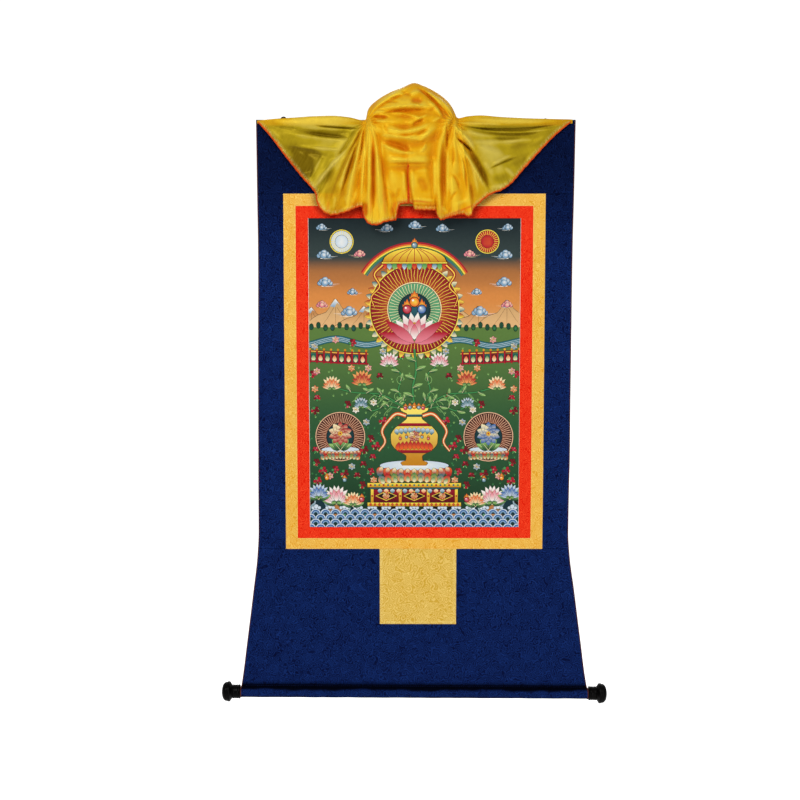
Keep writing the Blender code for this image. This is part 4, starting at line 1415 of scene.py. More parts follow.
@dataclass
class Veil:
    """The satin veil: wings to the corners, fans below two gathers, and the hood between.

    It is laid along lines, numbered 0 at the left corner to the last at the right one, that run
    from the seam over the crest to the hem. The waist and the chin each give their share of the
    way down and their height in the hood.
    """

    last: int = 60
    gathered: tuple[int, int] = (24, 40)
    waist: tuple[float, float] = (0.26, -8 * MM)
    chin: tuple[float, float] = (0.60, -80 * MM)
    clear: float = 2.7 * MM
    seam_z: float = -7 * MM
    cells: tuple[int, ...] = (4, 4, 10, 36, 42, 46)
    columns: int = 330
    slit_x: float = -13.2 * MM
    slit_top: float = -84 * MM
    thick: float = 0.5 * MM
    hem_wrap: float = 1.4 * MM
    slit_wrap: float = 1.9 * MM
    hem_reach: float = 11 * MM
    waves: int = 26
    uneven: float = 0.16
    crest: Table = Table("line x z", (
        (0, -295.5, -2.2), (2, -262, 1), (4, -225, 3.2), (6, -185, 5.6), (7.5, -155, 6.2),
        (9, -122, 3), (10, -104, -1.5), (13, -97, -2.8), (20, -91.5, -1), (24, -89.8, 6),
        (26, -87.5, 16), (27, -82, 24.5), (28, -72.5, 33), (29, -59.5, 42), (30, -41.5, 51.5),
        (31, -21.5, 59), (32, -1.5, 66.8), (33, 15, 61.8), (34, 31.5, 54.2), (35, 46.8, 44.8),
        (36, 60.2, 33.4), (37, 69, 21.8), (38, 74.2, 10.8), (40, 77.5, 3.5), (44, 82, 1),
        (48, 88, 2.4), (50, 100, 5.2), (52, 124, 6.8), (54, 158, 4.2), (56, 200, 2.2),
        (58, 250, 0.8), (60, 295.5, 0),
    ))
    hem: Table = Table("line x z", (
        (0, -294, -5), (2, -272, -30), (5, -244, -67), (8, -211, -108.5), (10, -192, -130),
        (11, -186, -140), (12, -184, -153), (13, -173, -171), (14, -158, -178), (16, -129, -172.5),
        (18, -108, -163.5), (19, -100, -162), (20, -96.5, -176), (21, -89, -192), (22, -80, -196.5),
        (23, -70.5, -197), (24, -57.5, -191.5), (25, -45, -189), (26, -36, -187.5), (27, -33, -173),
        (28, -30, -162), (29, -24, -157.5), (30, -13, -156.5), (31, -3, -157.5), (32, -0.5, -168.5),
        (36, 39, -169.5), (37, 43, -181.5), (38, 49, -187.5), (40, 66, -182), (42, 84, -177.5),
        (43, 92, -177), (44, 99, -181), (45, 106, -179), (46, 109.5, -168), (47, 117, -159.5),
        (49, 144.5, -138.5), (50, 163, -131.5), (52, 181, -119), (54, 203, -94), (56, 231, -63),
        (58, 262, -30.5), (60, 293.5, -4),
    ))
    leads: Table = Table("line waist_x chin_x", (
        (20, -91, -93), (22, -87, -80), (24, -82, -69), (26, -74, -59), (28, -60, -46),
        (30, -38, -30), (32, -12, -13), (34, 16, 6), (36, 42, 26), (38, 60, 44), (40, 70, 60), (43, 78, 82),
    ))
    depths: Table = Table("line crest waist chin hem", (
        (0, 2.8, 2.8, 2.8, 2.8), (3, 5, 6.5, 7, 6), (7, 9, 10.5, 11.5, 9), (10, 12, 14, 14, 11),
        (14, 15, 21, 19, 14), (20, 17, 27, 25, 20), (23, 16, 33, 31, 25), (26, 10, 38, 37, 23),
        (29, 5, 43, 43, 19), (32, 3.5, 46, 45, 20), (35, 5, 43, 41, 21), (38, 11, 36, 33, 23),
        (41, 16, 28, 27, 22), (46, 15, 20, 21, 17), (50, 11, 13, 14, 11), (54, 8.5, 9, 9, 8),
        (58, 5, 5, 5, 4.5), (60, 2.8, 2.8, 2.8, 2.8),
    ))
    folds: Table = Table("line height", (
        (0, 0), (6, -1), (9, 0), (10, 3), (11, -2), (12, 1), (13, 4), (14.5, -4.5), (16, 6),
        (17.5, -4.5), (19, 1), (20, 0), (21.5, 8), (23, 4), (24, 6), (25, 1), (26, -4), (27, -1),
        (28, 1.5), (30, 2), (31.5, -2), (32.5, 2.5), (35, 1), (36.5, -5), (38, 6), (39.5, -3.5),
        (41, 5), (43, -1), (45, 3), (46.5, -2), (48.5, 0.5), (52, -1), (60, 0),
    ))
    swags: tuple[Crease, ...] = tuple(
        Crease(*row)
        for row in (
            (-72, 26, 44, 20, -4, 10, 4.5), (-70, 9, 50, 4, -3, 10, -4.5), (-76, -14, 58, -4, 24, 10, 5),
            (-68, -34, 52, -30, 17, 10, -4.5), (-66, -76, 46, -74, 3, 9, 4.5), (-62, -93, 40, -92, 0, 9, -5),
            (-270, -7, -98, -10, 2, 8, 3), (-235, -20, -96, -26, 3, 9, -3.5),
            (-250, -62, -160, -72, 12, 26, -4), (92, -8, 275, -8, 2, 8, 3),
            (96, -21, 250, -21, 2, 9, -3.5), (104, -34, 176, -116, -6, 16, 3),
        )
    )
    creases: tuple[Crease, ...] = tuple(
        Crease(*row)
        for row in (
            # left wing
            (-282, -5, -91, -1, -1.9, 10, 3.6), (-196, -11, -95, -18, 0.95, 2.5, -5.5),
            (-222, -15, -118, -20, 1.14, 4, 2), (-211, -23, -118, -34, 1.52, 4.2, -5.4),
            (-249, -25, -118, -40, 1.52, 6.5, 2.2), (-245, -46, -129, -57, 2.28, 4, 2.4),
            (-253, -50, -161, -70, -1.52, 8.5, -4.8), (-230, -51, -191, -118, 2.28, 13, -5.6),
            (-204, -51, -191, -113, 1.14, 9, -4.2), (-168, -61, -199, -120, 1.9, 2.8, 3.6),
            (-121, -50, -191, -133, 2.66, 4.2, 6.5), (-148, -61, -174, -98, 0, 7.5, -1.8),
            (-275, -16, -245, -42, -0.95, 5, 1.8), (-264, -13, -215, -18, 0, 4, -1.8),
            (-238, -61, -260, -50, 0, 4, 1.6),
            # left fan
            (-166, -69, -155, -173, 0, 14, -2.6), (-91, -10, -163, -161, 5.7, 4.6, -4.6),
            (-93, -16, -148, -163, 5.7, 4.2, 4.2), (-97, -25, -138, -143, 3.8, 3.4, -4.6),
            (-95, -28, -127, -163, 3.8, 4, 4.6), (-104, -54, -121, -106, 1.14, 3.4, -4.6),
            (-91, -32, -112, -160, 2.28, 4, 4), (-99, -76, -110, -143, 0.76, 3.4, -3.6),
            (-89, -28, -101, -161, 1.52, 3.4, 4.4), (-86, -17, -91, -165, 0.76, 3.8, -3.2),
            (-84, -21, -86, -180, 0, 3.4, 3.4), (-77, -25, -78, -189, 0, 4.6, -8.5),
            (-71, -43, -62, -195, 1.14, 4.2, 6), (-63, -58, -48, -180, 1.14, 3.2, -3.6),
            (-54, -98, -41, -176, 0.57, 4, 2.6), (-148, -135, -153, -173, 0, 4.2, 3),
            (-166, -132, -166, -169, 0, 3.8, -2.4), (-133, -147, -129, -167, 0, 3.4, -2.2),
            (-95, -150, -92, -186, 0, 5.5, -5.5), (-108, -128, -118, -165, 0, 3.8, 2.4),
            # hood
            (-83, 9, -2, 61, -6.46, 5.5, 4.4), (-78, 12, -9, 47, -4.94, 3.8, -4.4),
            (-59, 30, -24, 27, -1.14, 3.4, -3.4), (-68, 24, -35, 36, -1.9, 3.2, 2.2),
            (-76, 16, 35, 20, -3.04, 3.2, 4.2), (-65, 9, 33, 15, -1.9, 3.2, -4.6),
            (-56, 8, 22, -8, -6.08, 3.2, 4.2), (-43, -1, 9, -1, -3.42, 5, -2.4),
            (-81, 3, -46, 0, 0, 3.4, -7), (-80, 9, -50, 11, -1.14, 2.7, 3),
            (-80, -5, -46, -7, 0.76, 2.5, 2.6), (-11, 31, 17, 30, 0, 8.4, -5.5),
            (-11, 41, 11, 50, -1.52, 4.6, 3.4), (-13, 24, 18, 23, 0.95, 2.5, 3),
            (2, 58, 39, 25, -3.04, 3.6, -6.6), (9, 55, 57, 10, -6.84, 3.6, 4.2),
            (20, 47, 59, -8, -4.94, 3.4, -6.2), (17, 36, 52, -4, -3.8, 3.2, 3.4),
            (35, 43, 70, 3, -4.18, 3.6, 3.4), (-50, 54, -20, 61, -1.14, 3.4, 2.4),
            (39, 30, 65, -4, -1.9, 2.7, -3.4), (-7, -17, 20, -1, -1.52, 4, -5.4),
            (-4, -9, 28, 7, -1.14, 3.2, 3), (-63, -16, 35, -6, 14.4, 3.2, 5),
            (-57, -8, 28, -2, 12.2, 4.6, -3.2), (-61, -26, 31, -15, 12.5, 3.6, -5.4),
            (-72, -33, 20, -44, -3.04, 3.2, 5.4), (-65, -41, -2, -63, -0.76, 6.1, -7),
            (-69, -43, 9, -65, 7.98, 3.2, 5), (20, -43, 7, -65, -3.42, 2.9, 4.6),
            (-4, -36, 28, -20, 0.76, 3.6, -5.6), (4, -46, 33, -19, 1.14, 3.4, 3.6),
            (-63, -37, -59, -81, 0, 2.7, 2.8), (-54, -63, 17, -74, 4.56, 4.6, -2.6),
            (-57, -73, 28, -72, 3.04, 3.8, 2.4), (-59, -78, 35, -79, 0.38, 2.1, 2.6),
            (-76, -8, -65, -33, 0, 6.3, 3), (-57, -11, -50, -30, 0, 3.8, -2.4),
            (-50, 38, -13, 47, -1.14, 4.6, 3.4), (-31, 54, -2, 40, 1.52, 3.4, -3.2),
            (24, 10, 42, 25, 0, 3.4, -2.6), (28, -8, 50, 3, 1.14, 3.4, 2.6),
            # flap under the chin
            (-58, -84, 32, -84, 0, 2.7, -4.2), (-15, -84, -12, -149, 0, 3.6, -4.4),
            (-21, -88, -20, -147, 0, 3.4, 2.6), (-5, -88, -4, -150, 0, 2.9, 2.4),
            (-43, -88, -45, -150, 0, 9.5, 2), (-28, -125, -35, -150, 0, 4.2, -2),
            (4, -106, 26, -139, 0, 9.7, -3.4), (-2, -99, 28, -95, -1.52, 4.6, 2.4),
            (-9, -148, 47, -150, 1.14, 3.4, 2.6), (-13, -159, 51, -162, 0, 3.2, -4),
            (-58, -125, -32, -150, 0, 5, -1.8),
            # right fan
            (35, -58, 37, -165, 0, 3.4, 3.8), (51, -29, 51, -176, -0.95, 6.3, -6),
            (62, -18, 60, -173, 0.76, 3.4, 4.6), (58, 1, 61, -76, 0, 2.7, -4.4),
            (69, -40, 69, -99, -2.28, 3.4, -3.8), (64, -99, 83, -136, -5.7, 3.2, -3.4),
            (82, -132, 64, -156, 2.28, 3.2, -3), (67, -106, 69, -143, 0, 5.5, 3.6),
            (73, -32, 90, -124, -6.84, 3.6, 4.4), (80, -51, 96, -143, -6.08, 3.2, -4),
            (63, -8, 114, -62, -3.8, 4.8, 6.5), (67, -21, 139, -139, -1.14, 3.6, 5.5),
            (73, -34, 112, -65, -1.9, 2.4, -11), (95, -47, 142, -134, -3.04, 5.7, -10),
            (129, -76, 148, -106, 0, 6.3, 2.5), (99, -73, 118, -147, -4.56, 3.4, 3),
            (103, -113, 111, -158, 0, 3.2, -2.8), (70, -161, 107, -148, -1.14, 4.2, 2.6),
            (47, -160, 66, -178, 0, 3.6, 2.8),
            # right wing
            (88, 0, 282, -3, 1.14, 6.5, 3.4), (66, -7, 182, -13, -1.52, 3.2, 2.4),
            (77, -11, 282, -5, 10.6, 2.1, -7.5), (99, -9, 282, -4, 5.7, 6.5, -2.6),
            (111, -19, 271, -15, 6.84, 2.2, 3.6), (122, -22, 249, -20, 7.22, 2.4, -2.6),
            (159, -40, 234, -35, 1.9, 5, 2.6), (141, -33, 204, -33, 3.04, 4.5, -3.4),
            (69, -13, 115, -57, -3.8, 4.2, 3), (77, -20, 159, -33, 1.14, 4.5, 2.4),
            (103, -42, 212, -37, 2.28, 6, 3), (114, -50, 175, -72, -3.04, 10, 3),
            (174, -52, 219, -42, 1.14, 8, -1.4), (133, -96, 197, -68, -1.52, 2.4, -3.6),
            (141, -87, 186, -64, -1.14, 4, 2.6), (178, -83, 216, -72, 0, 10, -1.8),
            (141, -113, 182, -98, 0.95, 10, -1.5), (167, -87, 190, -109, 0, 5, 3),
            (134, -128, 182, -116, 2.28, 5, 2.6), (216, -46, 245, -28, 0, 4.5, 1.8),
            (227, -57, 205, -83, 0, 3.8, 2),
        )
    )
    glows: tuple[Crease, ...] = tuple(
        Crease(*row)
        for row in (
            (-58, -161, 55, -163, -9.5, 2.4, 1), (36, -191, 137, -150, -1.14, 2.6, 1),
            (-14, -67, -12, -143, 0, 2.1, 0.9), (-12, -121, -10, -156, 0, 4.4, 1),
            (-90, -150, -92, -186, 0, 4.9, 0.9), (-82, -117, -83, -195, 0, 2.8, 0.7),
            (-60, -117, -54, -191, 0, 3.2, 0.7), (-33, -147, -48, -184, 0, 4.2, 0.75),
            (-161, -145, -165, -180, 0, 3.4, 0.6), (-78, -14, -79, -150, 0, 2.8, 0.6),
            (-43, -161, -43, -191, 0, 2.7, 0.4), (51, -143, 49, -186, 0, 3, 0.5),
            (90, -161, 103, -182, 0, 3, 0.6), (70, -158, 62, -180, 0, 2.3, 0.3),
            (-125, -150, -99, -169, 1.52, 2.5, 0.5), (-11, 33, 17, 32, 0, 4.9, 0.5),
            (-80, 4, -46, 2, 0, 1.9, 0.5),
        )
    )

    def blend(self, line: Array) -> Array:
        """1 on the lines that make the hood, 0 on the wings and fans, soft between."""
        return smooth((line - 19) / 5) * smooth((44 - line) / 5)

    def stations(self, line: Array) -> Array:
        """The seven points (x, out, z) that each line passes through, seam to hem.

        Args:
            line: the lines' numbers, 0 at the left corner to 60 at the right one.

        Returns:
            Points in metres, a row for each line.
        """
        crest_x, crest_z = (self.crest.read(key, line) * MM for key in ("x", "z"))
        hem_x, hem_z = (self.hem.read(key, line) * MM for key in ("x", "z"))
        depth = {key: self.depths.read(key, line) * MM for key in ("crest", "waist", "chin", "hem")}
        share = self.blend(line)

        def led(fraction: float, lead_x: Array, lead_z: float) -> tuple[Array, Array]:
            """A station a fraction down a straight line, led to the hood's own place there."""
            x, z = crest_x + (hem_x - crest_x) * fraction, crest_z + (hem_z - crest_z) * fraction
            return x + (lead_x - x) * share, z + (lead_z - z) * share

        (waist, low_waist), (chin, low_chin) = self.waist, self.chin
        waist_x, waist_z = led(waist, self.leads.read("waist_x", line) * MM, low_waist)
        chin_x, chin_z = led(chin, self.leads.read("chin_x", line) * MM, low_chin)
        shoulder = (
            crest_x + (waist_x - crest_x) * 0.14,
            depth["crest"] + (depth["waist"] - depth["crest"]) * 0.36,
            crest_z + (waist_z - crest_z) * 0.14,
        )
        first, last = self.gathered
        gather = [float(self.crest.read("x", at)) * MM for at in self.gathered]
        behind = gather[0] + (gather[1] - gather[0]) * (line - first) / (last - first)
        start_x = np.where((line > first) & (line < last), behind, crest_x)
        sewn = np.full_like(line, HUNG.gap + 0.6 * MM)
        back = np.maximum(depth["crest"] * 0.75, self.clear)
        seam_z = np.full_like(line, self.seam_z)
        rows = (
            (start_x, sewn, seam_z),
            ((start_x + crest_x) / 2, back, (seam_z + crest_z) / 2),
            (crest_x, depth["crest"], crest_z),
            shoulder,
            (waist_x, depth["waist"], waist_z),
            (chin_x, depth["chin"], chin_z),
            (hem_x, depth["hem"], hem_z),
        )
        return np.stack([np.stack(row, -1) for row in rows], 1)

    def along(self, stations: Array, part: int, t: float) -> Array:
        """Points a share t of the way from one station to the next, on one smooth curve.

        Args:
            stations: the points that each line passes through.
            part: the number of the first station.
            t: the share of the way.

        Returns:
            One point for each line.
        """
        p1, p2 = stations[:, part], stations[:, part + 1]
        p0 = stations[:, part - 1] if part else p1 * 2 - p2
        p3 = stations[:, part + 2] if part + 2 < stations.shape[1] else p2 * 2 - p1

        def step(a: Array, b: Array) -> Array:
            """The curve's step between two stations."""
            return np.maximum(np.linalg.norm(b - a, axis=1, keepdims=True), 0.5 * MM) ** 0.5

        s0, s1, s2 = step(p0, p1), step(p1, p2), step(p2, p3)
        slope1 = ((p1 - p0) / s0 - (p2 - p0) / (s0 + s1) + (p2 - p1) / s1) * s1
        slope2 = ((p2 - p1) / s1 - (p3 - p1) / (s1 + s2) + (p3 - p2) / s2) * s1
        return cubic(p1, p2, slope1, slope2, t)

    def crumple(self, x: Array, z: Array) -> Array:
        """Soft uneven waves all over the cloth, mm.

        Args:
            x, z: places in mm.

        Returns:
            The lift at each.
        """
        draw = np.random.default_rng(11)
        lift = np.zeros_like(x)
        for _ in range(self.waves):
            size, turn, phase = draw.uniform(9, 42), draw.uniform(0, pi), draw.uniform(0, tau)
            wave = (x * cos(turn) + z * sin(turn)) * tau / size + phase
            lift += size / 60 * np.sin(wave + 0.8 * np.sin(wave * 0.37 + phase))
        return lift * self.uneven

    def gathers(self, x: Array, z: Array) -> Array:
        """Fine pleats that run out from the two gathers, mm.

        Args:
            x, z: places in mm.

        Returns:
            The lift at each.
        """
        lift = np.zeros_like(x)
        for at_x, at_z, pleats, phase in ((-91, -7, 19, 0.6), (73, -7, 17, 2.1)):
            far = np.hypot(x - at_x, z - at_z)
            angle = np.arctan2(z - at_z, x - at_x)
            strength = np.exp(-far / 46) * smooth(far / 12)
            wave = pleats * angle + phase + 0.9 * np.sin(5 * angle + phase) + far / 60
            lift += 1.4 * strength * np.sin(wave) * (1 - 0.55 * smooth(far / 80))
        return lift

    def shape(self) -> tuple[Array, Array, Array, Array]:
        """Lays the cloth.

        Returns:
            Its points, the number of each point's line, how far it is down from seam to hem in
            stations, and the painted light and shade of its creases: lighter on ridges, darker in troughs.
        """
        line = np.linspace(0, self.last, self.columns + 1)
        stations = self.stations(line)
        rows = [(part, n / count) for part, count in enumerate(self.cells) for n in range(count)]
        rows.append((len(self.cells) - 1, 1.0))
        laid = np.stack([self.along(stations, part, t) for part, t in rows])
        x, out, z = laid[..., 0], laid[..., 1], laid[..., 2]
        down = np.array([part + t for part, t in rows])[:, None]
        below = (down - 3) / 3
        fold = self.folds.read("height", line) * smooth(below / 0.45)
        swag, detail = (sum(row.lift(x / MM, z / MM) for row in rows) for rows in (self.swags, self.creases))
        pleats = self.gathers(x / MM, z / MM)
        quiet = smooth(np.minimum(line, self.last - line) / 5)
        lifted = fold + swag + quiet * (detail + pleats + self.crumple(x / MM, z / MM))
        hem = smooth((down - 5.6) / 0.4) * quiet
        frill = 1.1 * np.sin(line * 5.3 + 1.2 * np.sin(line * 1.7)) + 0.7 * np.sin(line * 12.1)
        lifted = lifted + hem * frill
        front = smooth((down - 2.1) / 0.4)
        out = np.maximum(out + MM * lifted * front, np.where(down >= 2, self.clear, 0))
        z = z + hem * 0.5 * MM * np.sin(line * 7.9 + 0.6)
        face_y = HUNG.mid_y - HUNG.cloth / 2
        points = np.stack([x, face_y - out, z], -1)
        # Painted light and shade of the folds, summed from their lifts: lighter on ridges, darker in troughs,
        # darker still in the deepest pits and towards the corners.
        crease_lighting = 0.4 * fold + 0.7 * swag + detail + 0.6 * pleats + 1.3 * self.crumple(x / MM + 30, z / MM)
        ends = 1.3 * (1 - smooth(np.minimum(line, self.last - line) / 9))
        pit_shade = 0.8 * smooth((-crease_lighting - 8) / 4)
        crease = (np.tanh((crease_lighting - ends) / 3.4) - pit_shade) * front
        return points, np.broadcast_to(line, x.shape), np.broadcast_to(down, x.shape), crease

    def golden(self, points: Array, line: Array) -> Array:
        """How golden each point looks: little where one layer lies over the navy cloth.

        Args:
            points: on the veil.
            line: the number of each point's line.

        Returns:
            One value for each point, 0 to 1.
        """
        x, z = points[..., 0], points[..., 2]
        folded = smooth((line - 10.5) / 7) * smooth((50.5 - line) / 6)
        below, inside = GOLD_OUTER.top + 0.004 - z, GOLD_OUTER.right - np.abs(x)
        over_borders = smooth(below / 0.006) * smooth(inside / 0.006)
        above = smooth((z + 0.015) / 0.008)
        return np.clip(np.maximum(folded, 0.55 * over_borders) + 0.5 * above, 0, 1)

    def edging(self, name: str, path: Array, inward: Array, wide: float) -> Piece:
        """An overlocked edge: thread wrapped over the cloth along a path.

        Args:
            name: the piece's name.
            path: along the cloth's edge.
            inward: from the edge into the cloth, at each point.
            wide: half the width of the wrapping.

        Returns:
            The edging.
        """
        route = resample(path, 0.45 * MM)
        length = along_path(path)
        inward = read_along(inward, length, np.linspace(0, length[-1], len(route)))
        route = route + unit(inward) * wide * 0.6
        edge = twist(name, route, inward, wide, pitch=2 * MM, flat=0.62, groove=0.26, sides=10)
        edge.data.materials.append(OVERLOCK.material())
        return settle(edge, "yellow_satin")

    def make(self) -> Piece:
        """Makes the veil and its overlocked edges."""
        points, line, down, crease = self.shape()
        across = np.mean([along_path(row) for row in points], 0)
        run = np.linalg.norm(np.diff(points, axis=0, prepend=points[:1]), axis=-1)
        cloth = paired(across, -run.cumsum(0))
        faces = grid_faces(*points.shape[:2])
        # crease carries the painted light and shade of the folds.
        marks = {"gold": self.golden(points, line), "crease": crease}
        glow = np.max([row.lift(points[..., 0] / MM, points[..., 2] / MM) for row in self.glows], 0)
        marks["glow"] = glow * smooth((down - 3) / 0.5)
        to_hem = run[::-1].cumsum(0)[::-1] - run
        marks["hem"] = smooth(1 - to_hem / self.hem_reach) * smooth((down - 4) / 1.2)
        veil = new_piece("satin_veil", points, faces, cloth, **marks)
        satin = Satin().material()
        thicken(veil, self.thick, satin, satin)
        settle(veil, "yellow_satin", "veil")
        tangent = np.gradient(points, axis=1)
        normal = unit(np.cross(np.gradient(points, axis=0), tangent))
        normal = np.where(normal[..., 1:2] > 0, -normal, normal)
        hem = self.edging("overlocked_hem", points[-1], points[-4] - points[-1], self.hem_wrap)
        middle = slice(self.columns * 27 // self.last, self.columns * 36 // self.last)
        near = np.abs(points[:, middle, 0] - self.slit_x).argmin(1) + middle.start
        rows = np.arange(len(points))
        rows = rows[(points[rows, near, 2] < self.slit_top) & (down[rows, near] > 4.9)]
        near = near[rows]
        slit = points[rows, near] + normal[rows, near] * 0.9 * MM
        slit[:, 0] = self.slit_x
        side = np.broadcast_to(np.array([1.0, 0, 0]), slit.shape)
        seam = self.edging("overlocked_slit", slit, side, self.slit_wrap)
        return veil


# ---------------------------------------------------------------- painting


class Wash(Enum):
    """How a painted shape goes from its first colour to its second."""

    FLAT = "flat"
    DOWN = "down"
    OUTWARD = "outward"


INK, WHITE, CREAM = "1c1712", "f4f1e8", "f6e7b4"
GOLD_LIGHT, GOLD_DEEP = "f8dc4e", "c98a1a"
CRIMSON, ROSE, ORANGE, PALE_ORANGE = "b0182c", "e4808e", "e8662a", "f2a860"
TEAL, DEEP_TEAL, SKY, PALE_SKY = "2f6f78", "17333a", "7fa3c0", "c9d8e4"
LEAF, DEEP_LEAF, PALE_LEAF = "3f8a4c", "1d4a34", "8fbf6a"
MAROON, TAN, DEEP_RED, BLUE, OCHRE = "6e1a20", "b87a42", "a01828", "3c6cae", "8a6a3a"
BOTH = (-1, 1)


@dataclass
class Brush:
    """Collects painted shapes, later ones over earlier ones, in mm from the canvas's foot."""

    shapes: list[tuple] = field(default_factory=list)

    def fill(self, points: Array, colour: str, second: str | None = None, wash: Wash = Wash.DOWN) -> None:
        """Paints a closed shape.

        Args:
            points: its outline.
            colour: at its top, or its middle.
            second: at its foot, or its rim; the same if left out.
            wash: how one goes over to the other.
        """
        first = from_hex(colour)
        other = from_hex(second) if second else first
        self.shapes.append((np.asarray(points, float), first, other, wash if second else Wash.FLAT))

    def box(self, left: float, low: float, right: float, high: float, *colours: str) -> None:
        """Paints a rectangle."""
        self.fill([(left, low), (right, low), (right, high), (left, high)], *colours)

    def disc(self, x: float, y: float, radius: float, *colours: str, tall: float = 1) -> None:
        """Paints a round or oval spot, in one colour or from a middle one to a rim's.

        Args:
            x, y: its middle.
            radius: across its width.
            colours: one, or its middle's and its rim's.
            tall: its height as a share of its width.
        """
        angle = np.linspace(0, tau, int(np.clip(radius * 2.1, 8, 52)), endpoint=False)
        points = np.stack([x + radius * np.cos(angle), y + radius * tall * np.sin(angle)], 1)
        self.fill(points, *colours, wash=Wash.OUTWARD)

    def inked(self, x: float, y: float, radius: float, rim: float, *colours: str, ink: str = INK) -> None:
        """Paints a spot with a dark rim of a given width."""
        self.disc(x, y, radius + rim, ink)
        self.disc(x, y, radius, *colours)

    def stroke(self, points: Sequence, width: float, colour: str, taper: float = 0.0) -> None:
        """Draws a line of a width that thins towards its end by the taper's share.

        Args:
            points: its path.
            width: at its start.
            colour: of the line.
            taper: the share of the width that is lost.
        """
        path = np.asarray(points, float)
        ahead = unit(np.gradient(path, axis=0))
        side = np.stack([-ahead[:, 1], ahead[:, 0]], 1)
        half = width / 2 * (1 - taper * np.linspace(0, 1, len(path)))[:, None]
        self.fill(np.concatenate([path + side * half, (path - side * half)[::-1]]), colour)

    def strokes(self, points: Sequence, *layers: tuple[float, str], taper: float = 0.0) -> None:
        """Draws lines of several widths and colours over one another."""
        for width, colour in layers:
            self.stroke(points, width, colour, taper)

    def curve(self, points: Sequence, count: int = 24) -> Array:
        """A smooth path through a few points.

        Args:
            points: what it passes through.
            count: how many points it gets.

        Returns:
            The path.
        """
        points = np.asarray(points, float)
        keys = along_path(points)
        slope = np.gradient(points, keys, axis=0)
        at = np.linspace(0, keys[-1], count)
        n = np.clip(np.searchsorted(keys, at, side="right") - 1, 0, len(keys) - 2)
        step = (keys[n + 1] - keys[n])[:, None]
        t = (at - keys[n])[:, None] / step
        return cubic(points[n], points[n + 1], slope[n] * step, slope[n + 1] * step, t)

    def petal(
        self, x: float, y: float, turn: float, long: float, wide: float, base: str, tip: str, line: str = INK
    ) -> None:
        """Paints an outlined petal or leaf.

        Args:
            x, y: its foot.
            turn: where it points, in degrees from straight up, to the right.
            long: its length.
            wide: its width.
            base: its colour near the foot.
            tip: its colour at the tip.
            line: its outline's colour.
        """
        share = np.linspace(0, 1, 4 if long < 5 else 5 if long < 9 else 7)
        half = np.sin(pi * share**0.8) ** 0.85
        a = radians(turn)
        ahead, side = np.array([sin(a), cos(a)]), np.array([cos(a), -sin(a)])
        upright = (tip, base) if abs(turn) <= 90 else (base, tip)
        for grow, colours in ((0.55, (line,)), (0.0, upright)):
            length = (share * (long + 1.6 * grow) - 0.8 * grow)[:, None]
            across = (half * (wide / 2 + grow * 0.75))[:, None]
            right = ahead * length + side * across
            left = (ahead * length - side * across)[-2:0:-1]
            self.fill(np.concatenate([right, left]) + (x, y), *colours)

    def petals(self, x: float, y: float, turns: Sequence, long: float, wide: float, *colours: str) -> None:
        """Paints petals from one foot, one at each turn."""
        for turn in turns:
            self.petal(x, y, turn, long, wide, *colours)

    def lotus(self, x: float, y: float, size: float, base: str, tip: str) -> None:
        """Paints a lotus seen from the side, standing on its foot at (x, y).

        Args:
            x, y: its foot.
            size: its height.
            base, tip: the petals' colours.
        """
        self.petals(x, y, (-84, 84, -64, 64), size * 0.82, size * 0.30, base, tip)
        self.petals(x, y + size * 0.06, (-46, 46, -26, 26, -8, 8), size, size * 0.34, tip, base)
        self.disc(x, y + size * 0.50, size * 0.17, GOLD_LIGHT, GOLD_DEEP)
        for turn in (-56, 56, -34, 34, -13, 13):
            self.petal(x, y, turn, size * (0.86 - 0.003 * abs(turn)), size * 0.30, base, tip)
        self.petal(x, y - size * 0.03, 0, size * 0.64, size * 0.30, base, tip)
        self.petals(x, y, (-118, 118, -98, 98), size * 0.34, size * 0.16, DEEP_LEAF, PALE_LEAF)

    def rosette(self, x: float, y: float, size: float, base: str, tip: str, petals: int = 8) -> None:
        """Paints a flower seen from the front.

        Args:
            x, y: its middle.
            size: its radius.
            base, tip: the petals' colours.
            petals: in its outer ring.
        """
        for ring, count, shift in ((1.0, petals, 0.0), (0.72, petals, 0.5), (0.46, petals - 2, 0.0)):
            turns = [360 * (n + shift) / count for n in range(count)]
            self.petals(x, y, turns, size * ring, size * ring * 0.62, base, tip)
        self.disc(x, y, size * 0.2, GOLD_LIGHT, GOLD_DEEP)
        self.disc(x, y, size * 0.08, CRIMSON)

    def leaf(self, x: float, y: float, turn: float, long: float) -> None:
        """Paints a leaf with its rib.

        Args:
            x, y: its foot.
            turn: where it points, in degrees.
            long: its length.
        """
        self.petal(x, y, turn, long, long * 0.42, DEEP_LEAF, PALE_LEAF)
        a = radians(turn)
        end = (x + sin(a) * long * 0.85, y + cos(a) * long * 0.85)
        self.stroke([(x, y), ((x + end[0]) / 2, (y + end[1]) / 2), end], 0.8, CREAM, 0.7)

    def leaves(self, x: float, y: float, turns: Sequence[float], long: float) -> None:
        """Paints leaves from one foot, one at each turn."""
        for turn in turns:
            self.leaf(x, y, turn, long)

